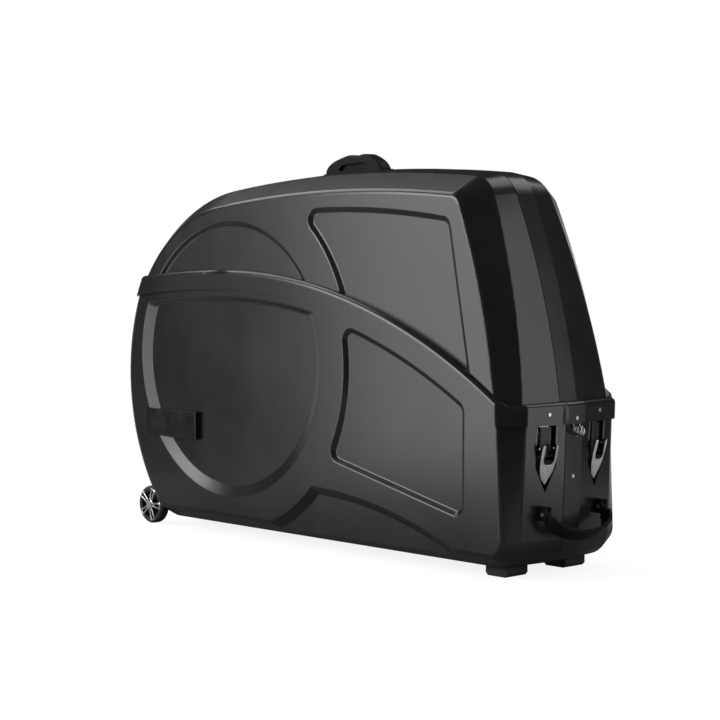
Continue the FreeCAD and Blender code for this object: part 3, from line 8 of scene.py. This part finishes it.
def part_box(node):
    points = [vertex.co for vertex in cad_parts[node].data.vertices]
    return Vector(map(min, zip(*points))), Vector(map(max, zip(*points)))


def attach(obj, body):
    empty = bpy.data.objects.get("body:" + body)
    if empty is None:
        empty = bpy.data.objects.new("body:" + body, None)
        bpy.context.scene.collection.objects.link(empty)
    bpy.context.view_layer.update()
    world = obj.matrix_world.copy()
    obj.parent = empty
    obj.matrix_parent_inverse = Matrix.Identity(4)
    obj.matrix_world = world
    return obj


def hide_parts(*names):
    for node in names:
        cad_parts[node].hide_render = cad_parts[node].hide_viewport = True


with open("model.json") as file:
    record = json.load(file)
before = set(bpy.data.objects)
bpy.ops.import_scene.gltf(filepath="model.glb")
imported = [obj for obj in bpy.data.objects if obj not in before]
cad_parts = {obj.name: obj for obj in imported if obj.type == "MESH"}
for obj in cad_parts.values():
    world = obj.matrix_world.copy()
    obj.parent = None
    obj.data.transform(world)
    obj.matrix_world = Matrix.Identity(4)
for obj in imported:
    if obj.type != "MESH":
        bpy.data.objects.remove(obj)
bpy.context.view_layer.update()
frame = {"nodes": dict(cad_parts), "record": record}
bpy.ops.object.select_all(action="DESELECT")
scene = bpy.context.scene
nodes = frame["nodes"]
record = frame["record"]
bodyOf = {node: body for body, members in record["behaviour"]["bodies"].items() for node in members}
slotOf = {row["node"]: row["material_slot"] for row in record["subparts"]}
joints = {joint["name"]: joint for joint in record["behaviour"]["joints"]}
print("frame loaded:", len(nodes), "nodes")

# camera fitted to the photograph, 720 by 720
cameraView = {
    "place": (3.40005, -3.2524, 0.7303),
    "yaw": 46.36,
    "pitch": -3.84,
    "lens": 104.27,
    "sensor": 36,
    "farthest": 60,
}
yaw = math.radians(cameraView["yaw"])
ahead = Vector((-math.sin(yaw), math.cos(yaw), 0))


def addCamera(v):
    bpy.ops.object.camera_add(location=v["place"])
    cam = bpy.context.object
    cam.name = "photoCamera"
    cam.rotation_euler = (math.radians(90 + v["pitch"]), 0, yaw)
    cam.data.sensor_width = v["sensor"]
    cam.data.lens = v["lens"]
    cam.data.clip_end = v["farthest"]
    scene.camera = cam


addCamera(cameraView)


# node wrapper: sockets take Python arithmetic, add() makes any other node
class Sock:
    def __init__(self, tree, socket):
        self.tree = tree
        self.socket = socket

    def math(self, operation, other, swap=False):
        pair = (other, self) if swap else (self, other)
        return self.tree.add("ShaderNodeMath", {"operation": operation}, {0: pair[0], 1: pair[1]})

    def __add__(self, other):
        return self.math("ADD", other)

    def __sub__(self, other):
        return self.math("SUBTRACT", other)

    def __mul__(self, other):
        return self.math("MULTIPLY", other)

    def __rsub__(self, other):
        return self.math("SUBTRACT", other, True)

    __radd__ = __add__
    __rmul__ = __mul__

    def clip(self):
        return self.tree.add("ShaderNodeClamp", {}, {"Value": self})

    def between(self, low, high, start=0.0, end=1.0):
        limits = {"Value": self, "From Min": low, "From Max": high, "To Min": start, "To Max": end}
        return self.tree.add("ShaderNodeMapRange", {"clamp": True}, limits)


class Tree:
    def __init__(self, nodeTree):
        self.nodes = nodeTree.nodes
        self.links = nodeTree.links

    def add(self, kind, settings, inputs, output=0):
        node = self.nodes.new(kind)
        for key, value in settings.items():
            setattr(node, key, value)
        for key, value in inputs.items():
            self.put(node.inputs[key], value)
        return Sock(self, node.outputs[output])

    def put(self, socket, value):
        if isinstance(value, Sock):
            self.links.new(value.socket, socket)
        else:
            socket.default_value = value

    def mix(self, factor, low, high):
        values = {"Factor": factor, 6: (*low, 1), 7: (*high, 1)}
        return self.add("ShaderNodeMix", {"data_type": "RGBA"}, values, 2)

    def rays(self):
        path = self.nodes.new("ShaderNodeLightPath").outputs
        return [Sock(self, path["Is " + kind + " Ray"]) for kind in ("Camera", "Glossy", "Transmission")]


class Finish(Tree):
    def __init__(self, name):
        self.material = bpy.data.materials.new(name)
        self.material.use_nodes = True
        super().__init__(self.material.node_tree)
        self.shader = self.nodes["Principled BSDF"]
        self.place = self.add("ShaderNodeTexCoord", {}, {}, "Object")

    def set(self, **inputs):
        for key, value in inputs.items():
            self.put(self.shader.inputs[key.replace("_", " ")], value)

    def noise(self, size, detail=2.0, rough=0.5, vector=None):
        place = vector or self.place
        values = {"Vector": place, "Scale": 1 / size, "Detail": detail, "Roughness": rough}
        return self.add("ShaderNodeTexNoise", {}, values)

    def stretched(self, scale):
        return self.add("ShaderNodeMapping", {}, {"Vector": self.place, "Scale": scale})

    def bump(self, height, depth, strength):
        values = {"Height": height, "Distance": depth, "Strength": strength}
        return self.add("ShaderNodeBump", {}, values)


# moulded shell: near-black satin plastic, fine leather-like grain, faint rubs
shellLook = {
    "dark": (0.0085, 0.0087, 0.0091),
    "worn": (0.0135, 0.0137, 0.0142),
    "cloud": 0.22,
    "rub": 0.03,
    "rubStretch": (1.0, 1.0, 0.5),
    "rubShare": 0.35,
    "wearRange": (0.4, 0.7),
    "grain": 0.0011,
    "pore": 0.00242,
    "poreShare": 0.4,
    "grainDepth": 0.00006,
    "grainStrength": 0.3,
    "rough": (0.22, 0.27),
}


def shellPlastic(v):
    f = Finish("shellPlastic")
    cloud = f.noise(v["cloud"], detail=3.0)
    rub = f.noise(v["rub"], detail=4.0, rough=0.65, vector=f.stretched(v["rubStretch"]))
    grain = f.noise(v["grain"], rough=0.6)
    cells = {"Vector": f.place, "Scale": 1 / v["pore"]}
    pores = f.add("ShaderNodeTexVoronoi", {"feature": "F1"}, cells)
    wear = (cloud * (1 - v["rubShare"]) + rub * v["rubShare"]).between(*v["wearRange"])
    relief = grain * (1 - v["poreShare"]) + pores * v["poreShare"]
    f.set(Base_Color=f.mix(wear, v["dark"], v["worn"]))
    f.set(Roughness=wear.between(0.0, 1.0, *v["rough"]))
    f.set(Normal=f.bump(relief, v["grainDepth"], v["grainStrength"]))
    return f.material


# plain plastics and rubbers: two tones in soft clouds and a fine grain
plasticLook = {
    "cloud": 0.05,
    "tones": (0.35, 0.7),
    "roughTones": (0.3, 0.7),
    "roughSpread": 0.05,
    "grainStrength": 0.4,
}


def plainPlastic(name, dark, light, rough, grain, depth, gloss=0.5):
    v = plasticLook
    f = Finish(name)
    cloud = f.noise(v["cloud"], detail=3.0)
    fine = f.noise(grain, rough=0.6)
    roughEnds = (rough - v["roughSpread"], rough + v["roughSpread"])
    f.set(Base_Color=f.mix(cloud.between(*v["tones"]), dark, light))
    f.set(Roughness=cloud.between(*v["roughTones"], *roughEnds), Specular_IOR_Level=gloss)
    f.set(Normal=f.bump(fine, depth, v["grainStrength"]))
    return f.material


# metals: a faint film of two tones and fine swirls in the roughness
metalLook = {
    "tones": (0.3, 0.7),
    "swirl": 0.2,
    "swirlStretch": (1.0, 1.0, 6.0),
    "swirlShare": 0.5,
    "roughSpread": 0.3,
    "filmStrength": 0.3,
}


def brightMetal(name, dark, light, rough, size, depth):
    v = metalLook
    f = Finish(name)
    film = f.noise(size, detail=4.0, rough=0.6)
    swirl = f.noise(size * v["swirl"], vector=f.stretched(v["swirlStretch"]))
    sheen = film * (1 - v["swirlShare"]) + swirl * v["swirlShare"]
    roughEnds = (rough * (1 - v["roughSpread"]), rough * (1 + v["roughSpread"]))
    f.set(Base_Color=f.mix(film.between(*v["tones"]), dark, light), Metallic=1.0)
    f.set(Roughness=sheen.between(*v["tones"], *roughEnds))
    f.set(Normal=f.bump(film, depth, v["filmStrength"]))
    return f.material


# name, dark tone, light tone, roughness, grain or film size, depth and, for some plastics, gloss
plastics = {
    "lining": ("liningPlastic", (0.02, 0.02, 0.021), (0.03, 0.03, 0.031), 0.6, 0.002, 0.0002),
    "gasket": ("gasketRubber", (0.012, 0.012, 0.012), (0.02, 0.02, 0.02), 0.75, 0.0015, 0.0001),
    "grip": ("gripPlastic", (0.006, 0.006, 0.0063), (0.009, 0.009, 0.0094), 0.5, 0.0009, 0.0001, 0.1),
    "tyre": ("tyreRubber", (0.011, 0.011, 0.011), (0.02, 0.02, 0.02), 0.62, 0.0012, 0.0001),
    "rubber": ("footRubber", (0.012, 0.012, 0.012), (0.022, 0.022, 0.022), 0.7, 0.0012, 0.0001),
    "badge": ("badgeGloss", (0.006, 0.006, 0.0065), (0.008, 0.008, 0.0085), 0.22, 0.02, 0.0001),
}
metals = {
    "steel": ("satinSteel", (0.5, 0.5, 0.51), (0.62, 0.62, 0.63), 0.3, 0.006, 0.00003),
    "chrome": ("chromePlate", (0.72, 0.73, 0.75), (0.85, 0.86, 0.87), 0.09, 0.012, 0.00003),
    "alloy": ("anodisedAlloy", (0.55, 0.56, 0.58), (0.66, 0.67, 0.69), 0.35, 0.008, 0.00003),
}
finishes = {"shell": shellPlastic(shellLook)}
finishes.update({slot: plainPlastic(*look) for slot, look in plastics.items()})
finishes.update({slot: brightMetal(*look) for slot, look in metals.items()})
hookSteel = brightMetal("hookSteel", (0.035, 0.035, 0.036), (0.06, 0.06, 0.061), 0.4, 0.006, 0.00003)
# latch rails: steel darkened as painted shade for the strips' shadowed inner faces
shadedRailSteel = brightMetal("shadedRailSteel", (0.16, 0.16, 0.163), (0.24, 0.24, 0.244), 0.35, 0.004, 0.00003)
hubCore = plainPlastic("hubCore", (0.006, 0.006, 0.006), (0.01, 0.01, 0.01), 0.6, 0.001, 0.00006, 0.25)


def nodeLook(name, slot):
    if name.startswith("wheel_hub"):
        return hubCore
    return hookSteel if name.startswith(("draw_hook", "latch_base")) else finishes[slot]


def dressNodes():
    for name, slot in slotOf.items():
        looks = nodes[name].data.materials
        looks.clear()
        looks.append(nodeLook(name, slot))


dressNodes()
print("finishes on the shells and fittings")


# a piece of the scene alone rides a body; one that stands for a CAD node also replaces it
def newPiece(name, mesh):
    piece = bpy.data.objects.new(name, mesh)
    scene.collection.objects.link(piece)
    bpy.ops.object.select_all(action="DESELECT")
    piece.select_set(True)
    bpy.context.view_layer.objects.active = piece
    return piece


def copied(pattern, name, place):
    mesh = pattern.data.copy()
    mesh.transform(place)
    return newPiece(name, mesh)


def addPiece(piece, body, slot, look=None):
    piece.data.materials.clear()
    piece.data.materials.append(look or finishes[slot])
    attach(piece, body)


def standFor(piece, node):
    addPiece(piece, bodyOf[node], slotOf[node])
    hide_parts(node)


def modify(piece, kind, **settings):
    modifier = piece.modifiers.new(kind.lower(), kind)
    for key, value in settings.items():
        setattr(modifier, key, value)
    bpy.ops.object.modifier_apply(modifier=modifier.name)


def roundEdges(piece, width, segments, fromAngle):
    limit = math.radians(fromAngle)
    modify(piece, "BEVEL", width=width, segments=segments, limit_method="ANGLE", angle_limit=limit)


def smoothBelow(angle):
    bpy.ops.object.shade_smooth_by_angle(angle=math.radians(angle))


# moulded and cast pieces get rounded edges on a merged copy of their solid
softEdges = {
    "tow_handle_strap": 0.0022,
    "tow_mount_right": 0.002,
    "tow_mount_left": 0.002,
    "rest_foot_right": 0.005,
    "rest_foot_left": 0.005,
    "wheel_tyre_right": 0.0025,
    "wheel_tyre_left": 0.0025,
    "wheel_bracket_right": 0.0012,
    "wheel_bracket_left": 0.0012,
}
softLook = {"merge": 0.00002, "flat": 1, "segments": 4, "fromAngle": 40, "smooth": 38}


def softCopy(node, width, v):
    piece = newPiece(node + "_soft", nodes[node].data.copy())
    bpy.ops.mesh.customdata_custom_splitnormals_clear()
    bpy.ops.object.mode_set(mode="EDIT")
    bpy.ops.mesh.select_all(action="SELECT")
    bpy.ops.mesh.remove_doubles(threshold=v["merge"])
    bpy.ops.mesh.dissolve_limited(angle_limit=math.radians(v["flat"]))
    bpy.ops.mesh.normals_make_consistent(inside=False)
    bpy.ops.object.mode_set(mode="OBJECT")
    roundEdges(piece, width, v["segments"], v["fromAngle"])
    smoothBelow(v["smooth"])
    standFor(piece, node)


for node, width in softEdges.items():
    softCopy(node, width, softLook)
print("rounded fittings:", len(softEdges))

near = 0.001  # reach of a test that picks vertices by their place


# edit mode helpers: pick vertices by their place, shift them, or extrude what is picked
def pick(piece, test):
    bpy.ops.object.mode_set(mode="EDIT")
    bpy.ops.mesh.select_mode(type="VERT")
    bpy.ops.mesh.select_all(action="DESELECT")
    bpy.ops.object.mode_set(mode="OBJECT")
    for vertex in piece.data.vertices:
        vertex.select = test(vertex.co)
    bpy.ops.object.mode_set(mode="EDIT")


def shift(piece, test, step):
    pick(piece, test)
    bpy.ops.transform.translate(value=step)
    bpy.ops.object.mode_set(mode="OBJECT")


def pushOut(step):
    bpy.ops.mesh.extrude_region_move(TRANSFORM_OT_translate={"value": step})


# latch levers: plated shield with two lobes, drawn in the latch's own frame, x out of the wall, z up it
leverLook = {
    "pivot": Vector((-0.001, 0, -0.047)),
    "hookPin": Vector((-0.00375, 0, -0.063)),
    "half": 0.0215,
    "top": -0.0385,
    "tip": -0.1205,
    "columns": 6,
    "standOut": (0.0165, -0.002),  # face of the plate at the lobes and at the tip
    "crown": 0.0018,
    "outline": (0.9, 0.99, 1.0, 1.0, 0.99, 0.97, 0.94, 0.89, 0.82, 0.72, 0.58, 0.38, 0.1),
    "slotHalf": 0.6,  # nearer the middle than this share of half, and above slotEnd, the plate is cut out
    "slotEnd": 0.004,
    "slotWidth": (1.16, 1.05, 1.04, 1.05, 1.07, 1.05, 0.62),  # room for the hook, then a round end
    "slotReach": 0.7,
    "skirt": 0.006,
    "lobeSteps": ((-0.0035, 0, 0.0016), (-0.0035, 0, -0.0012)),  # the lobes' ends roll inwards
    "merge": 0.0001,
    "plate": 0.0018,
    "round": 0.0004,
}


def latchFrame(name, v):
    pivot = Vector(joints["lever_" + name + "_turn"]["pos_m"])
    pin = Vector(joints["hook_" + name + "_turn"]["pos_m"])
    across = -Vector(joints["lever_" + name + "_turn"]["axis"]).normalized()
    run = (pin - pivot).normalized()
    side = across.cross(run)
    local = (v["hookPin"] - v["pivot"]).normalized()
    out = local.x * run + local.z * side
    up = local.z * run - local.x * side
    turn = Matrix((out, across, up)).transposed()
    return Matrix.Translation(pivot - turn @ v["pivot"]) @ turn.to_4x4()


def shapeLeverRows(piece, v, length, rows):
    high, low = v["standOut"]
    for row, share in enumerate(v["outline"]):
        z = length * (0.5 - row / rows)
        if row < len(v["slotWidth"]):
            pick(piece, lambda p: abs(p.z - z) < near and abs(p.y) < v["slotReach"] * v["half"])
            bpy.ops.transform.resize(value=(1, v["slotWidth"][row], 1), center_override=(0, 0, z))
        pick(piece, lambda p: abs(p.z - z) < near)
        bpy.ops.transform.resize(value=(1, share, 1), center_override=(0, 0, z))
        bpy.ops.transform.translate(value=(high + (low - high) * row / rows, 0, 0))
        bpy.ops.object.mode_set(mode="OBJECT")


def foldLeverEdges(piece, v, length, rows):
    def onSide(p):
        row = round((0.5 - p.z / length) * rows)
        return abs(abs(p.y) - v["half"] * v["outline"][row]) < 0.4 * near

    def onLobes(p):
        return p.z > length / 2 - 0.5 * near and p.x > v["standOut"][0] - v["crown"] - near

    pick(piece, onSide)
    bpy.ops.transform.translate(value=(-v["crown"], 0, 0))
    bpy.ops.mesh.select_mode(type="EDGE")
    pushOut((-v["skirt"], 0, 0))
    bpy.ops.object.mode_set(mode="OBJECT")
    pick(piece, onLobes)
    bpy.ops.mesh.select_mode(type="EDGE")
    for step in v["lobeSteps"]:
        pushOut(step)
    bpy.ops.mesh.select_all(action="SELECT")
    bpy.ops.mesh.remove_doubles(threshold=v["merge"])
    bpy.ops.mesh.normals_make_consistent(inside=False)


def leverPattern(v):
    upright = (math.pi / 2, 0, math.pi / 2)
    length = v["top"] - v["tip"]
    rows = len(v["outline"]) - 1
    cells = {"x_subdivisions": v["columns"], "y_subdivisions": rows}
    bpy.ops.mesh.primitive_grid_add(**cells, size=1, rotation=upright)
    piece = bpy.context.object
    piece.scale = (2 * v["half"], length, 1)
    bpy.ops.object.transform_apply(location=False, rotation=True, scale=True)
    pick(piece, lambda p: abs(p.y) < v["half"] * v["slotHalf"] and p.z > v["slotEnd"])
    bpy.ops.mesh.delete(type="VERT")
    bpy.ops.object.mode_set(mode="OBJECT")
    shapeLeverRows(piece, v, length, rows)
    foldLeverEdges(piece, v, length, rows)
    bpy.ops.transform.translate(value=(0, 0, (v["top"] + v["tip"]) / 2))
    bpy.ops.object.mode_set(mode="OBJECT")
    if sum(face.normal.x * face.area for face in piece.data.polygons) < 0:
        piece.data.flip_normals()
    modify(piece, "SOLIDIFY", thickness=v["plate"], offset=-1)
    roundEdges(piece, v["round"], segments=2, fromAngle=50)
    modify(piece, "SUBSURF", levels=2, render_levels=2)
    bpy.ops.object.shade_smooth()
    return piece


latchNames = ("front_right", "front_left", "rear_right", "rear_left")
latchFrames = {name: latchFrame(name, leverLook) for name in latchNames}
plate = leverPattern(leverLook)
for latch, place in latchFrames.items():
    standFor(copied(plate, "lever_plate_" + latch, place), "latch_lever_" + latch)
bpy.data.objects.remove(plate)
print("latch levers")

# bright edge strips along the latch wells, above the levers, in steel darkened as painted shade for their
# shadowed faces
railLook = {
    "inner": 0.0252,
    "outer": 0.0285,
    "back": -0.003,
    "front": 0.0012,
    "top": -0.0005,
    "low": -0.043,
    "footCut": (-0.0012, 0, 0.0015),  # the lower front edge is slanted off
    "round": 0.0007,
}


def barBetween(low, high):
    low, high = Vector(low), Vector(high)
    bpy.ops.mesh.primitive_cube_add(size=1, location=(low + high) / 2)
    bar = bpy.context.object
    bar.scale = high - low
    bpy.ops.object.transform_apply(location=True, rotation=False, scale=True)
    return bar


def railPattern(v):
    piece = barBetween((v["back"], v["inner"], v["low"]), (v["front"], v["outer"], v["top"]))
    shift(piece, lambda p: p.z < v["low"] + near and p.x > 0, v["footCut"])
    modify(piece, "MIRROR", use_axis=(False, True, False))
    roundEdges(piece, v["round"], segments=3, fromAngle=40)
    smoothBelow(40)
    return piece


rails = railPattern(railLook)
for latch, place in latchFrames.items():
    addPiece(copied(rails, "latch_rails_" + latch, place), "tub", "steel", shadedRailSteel)
bpy.data.objects.remove(rails)
print("latch rails")

# raised end of the right band half, beside the middle strip
rampLook = {
    "seam": -0.0272,
    "flush": -0.0415,
    "low": 0.3154,
    "high": 0.352,
    "bandProud": 0.0062,  # from the front of the tub to the face of the band
    "deep": 0.008,
    "rise": 0.0012,
    "sunk": 0.0028,  # the far edge dips into the band
    "topLean": 0.0008,
    "round": 0.0009,
}


def addRamp(v):
    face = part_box("tub_right_shell")[1][0] + v["bandProud"]
    piece = barBetween((face - v["deep"], v["flush"], v["low"]), (face + v["rise"], v["seam"], v["high"]))
    shift(piece, lambda p: p.x > face and p.y < v["flush"] + near, (-v["rise"] - v["sunk"], 0, 0))
    shift(piece, lambda p: p.z > v["high"] - near, (v["topLean"], 0, 0))
    piece.name = "band_ramp"
    roundEdges(piece, v["round"], segments=3, fromAngle=25)
    smoothBelow(40)
    addPiece(piece, "lid", "shell")


addRamp(rampLook)
print("band end")

# chrome stars on the wheels: slotted arms round a boss, over the dark hub
starLook = {
    "arms": 5,
    "root": 0.009,
    "reach": 0.0395,
    "half": (0.0052, 0.0088),  # half widths of an arm at its root and at its end
    "wall": 0.0044,
    "deep": 0.0032,
    "proud": 0.0012,
    "boss": 0.0118,
    "bossProud": 0.0006,
    "round": 0.0008,
    "turn": -1,
}


def starPattern(v):
    # drawn in the XY plane with its face to +Z
    middle = (v["root"] + v["reach"]) / 2
    bpy.ops.mesh.primitive_plane_add(size=1, location=(middle, 0, 0))
    piece = bpy.context.object
    piece.scale = (v["reach"] - v["root"], 1, 1)
    bpy.ops.object.transform_apply(location=True, rotation=False, scale=True)
    for side, half in zip((-1, 1), v["half"]):
        pick(piece, lambda p: (p.x - middle) * side > 0)
        bpy.ops.transform.resize(value=(1, 2 * half, 1), center_override=(0, 0, 0))
        bpy.ops.object.mode_set(mode="OBJECT")
    bpy.ops.object.mode_set(mode="EDIT")
    bpy.ops.mesh.select_mode(type="FACE")
    bpy.ops.mesh.select_all(action="SELECT")
    bpy.ops.mesh.inset(thickness=v["wall"])
    bpy.ops.mesh.delete(type="FACE")
    bpy.ops.mesh.select_all(action="SELECT")
    pushOut((0, 0, -v["deep"]))
    bpy.ops.mesh.select_all(action="SELECT")
    bpy.ops.mesh.normals_make_consistent(inside=False)
    step = 2 * math.pi / v["arms"]
    for arm in range(v["arms"] - 1):
        bpy.ops.mesh.duplicate()
        bpy.ops.transform.rotate(value=step, orient_axis="Z", center_override=(0, 0, 0))
    thick = v["deep"] + v["bossProud"]
    middleDepth = (0, 0, (v["bossProud"] - v["deep"]) / 2)
    bpy.ops.mesh.primitive_cylinder_add(vertices=40, radius=v["boss"], depth=thick, location=middleDepth)
    bpy.ops.object.mode_set(mode="OBJECT")
    roundEdges(piece, v["round"], segments=3, fromAngle=40)
    smoothBelow(40)
    return piece


def starPlace(tyre, sign, v):
    low, high = Vector(tyre[0]), Vector(tyre[1])
    centre = (low + high) / 2
    centre.y = (low if sign < 0 else high).y + sign * v["proud"]
    facing = Matrix.Rotation(-sign * math.pi / 2, 4, "X")
    return Matrix.Translation(centre) @ facing @ Matrix.Rotation(math.radians(v["turn"]), 4, "Z")


star = starPattern(starLook)
for side, sign in (("right", -1), ("left", 1)):
    place = starPlace(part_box("wheel_tyre_" + side), sign, starLook)
    addPiece(copied(star, "wheel_star_" + side, place), "wheel_" + side, "chrome")
bpy.data.objects.remove(star)
print("wheel stars")

# studio: pale table that fades into the white backdrop, dark room behind the camera,
# soft boxes to both sides, above and high at the back
studio = {
    "table": {
        "wide": 3.0,
        "start": -1.5,
        "end": 2.5,
        "below": 0.0005,
        "fade": (0.75, 1.4),
        "colour": 0.2,
        "glow": 0.87,
        "mirrored": 0.5,
    },
    "sky": 0.55,
    "room": 0.03,
    "backdropEdge": (0.35, 0.75),
    "backdropTop": (0.0, 0.12),
    "boxes": [
        {"name": "leftBox", "place": (-1.87, -3.63, 1.2), "size": (2.6, 4.2), "power": 112},
        {"name": "leftHighBox", "place": (-1.8, -3.3, 2.2), "size": (2.4, 1.6), "power": 55},
        {"name": "rightBox", "place": (3.45, 1.77, 1.0), "size": (2.0, 4.2), "power": 42},
        {"name": "topBox", "place": (-2.0, -0.3, 2.9), "size": (2.0, 2.0), "power": 36},
        {"name": "backHighBox", "place": (0.5, 2.0, 2.9), "size": (1.6, 1.6), "power": 14},
    ],
    "aim": Vector((0, 0, 0.4)),
}
black, white = (0, 0, 0), (1, 1, 1)


def addTable(v):
    place = ahead * (v["start"] + v["end"]) / 2 - Vector((0, 0, v["below"]))
    bpy.ops.mesh.primitive_plane_add(size=1, location=place)
    table = bpy.context.object
    table.name = "floor"
    table.scale = (v["wide"], v["end"] - v["start"], 1)
    table.rotation_euler = (0, 0, yaw)
    bpy.ops.object.transform_apply(location=True, rotation=True, scale=True)
    look = Finish("paleTable")
    camera, glossy, through = look.rays()
    away = look.add("ShaderNodeVectorMath", {"operation": "LENGTH"}, {0: look.place}, "Value")
    far = away.between(*v["fade"])
    # glossy and transmission rays see the floor's glow only away from the object and black near it, a
    # painted shadow of the object in its reflections
    seen = (camera + (glossy + through) * far * v["mirrored"]).clip()
    pale = look.mix(far, (v["colour"],) * 3, black)
    glow = look.mix(seen * far.between(0.0, 1.0, v["glow"], 1.0), black, white)
    look.set(Base_Color=pale, Roughness=0.9, Specular_IOR_Level=0.0)
    look.set(Emission_Color=glow, Emission_Strength=1.0)
    table.data.materials.append(look.material)


def addWorld(v):
    world = bpy.data.worlds.new("studioWorld")
    world.use_nodes = True
    scene.world = world
    t = Tree(world.node_tree)
    seen, glossy, through = t.rays()
    mirrored = (glossy + through).clip()
    way = t.add("ShaderNodeTexCoord", {}, {}, "Generated")
    facing = t.add("ShaderNodeVectorMath", {"operation": "DOT_PRODUCT"}, {0: way, 1: ahead}, "Value")
    height = t.add("ShaderNodeSeparateXYZ", {}, {0: way}, "Z")
    backdrop = facing.between(*v["backdropEdge"]) * height.between(*v["backdropTop"], 1.0, 0.0)
    unseen = mirrored * backdrop.between(0.0, 1.0, v["room"], 1.0) + (1 - mirrored) * v["sky"]
    t.put(t.nodes["Background"].inputs["Strength"], seen + (1 - seen) * unseen)
    t.put(t.nodes["Background"].inputs["Color"], (*white, 1))


def addBox(v, aim):
    place = Vector(v["place"])
    bpy.ops.object.light_add(type="AREA", location=place)
    lamp = bpy.context.object
    lamp.name = v["name"]
    lamp.rotation_euler = (aim - place).to_track_quat("-Z", "Y").to_euler()
    lamp.data.shape = "RECTANGLE"
    lamp.data.size, lamp.data.size_y = v["size"]
    lamp.data.energy = v["power"]


addTable(studio["table"])
addWorld(studio)
for box in studio["boxes"]:
    addBox(box, studio["aim"])
scene.view_settings.view_transform = "Standard"
print("studio set")
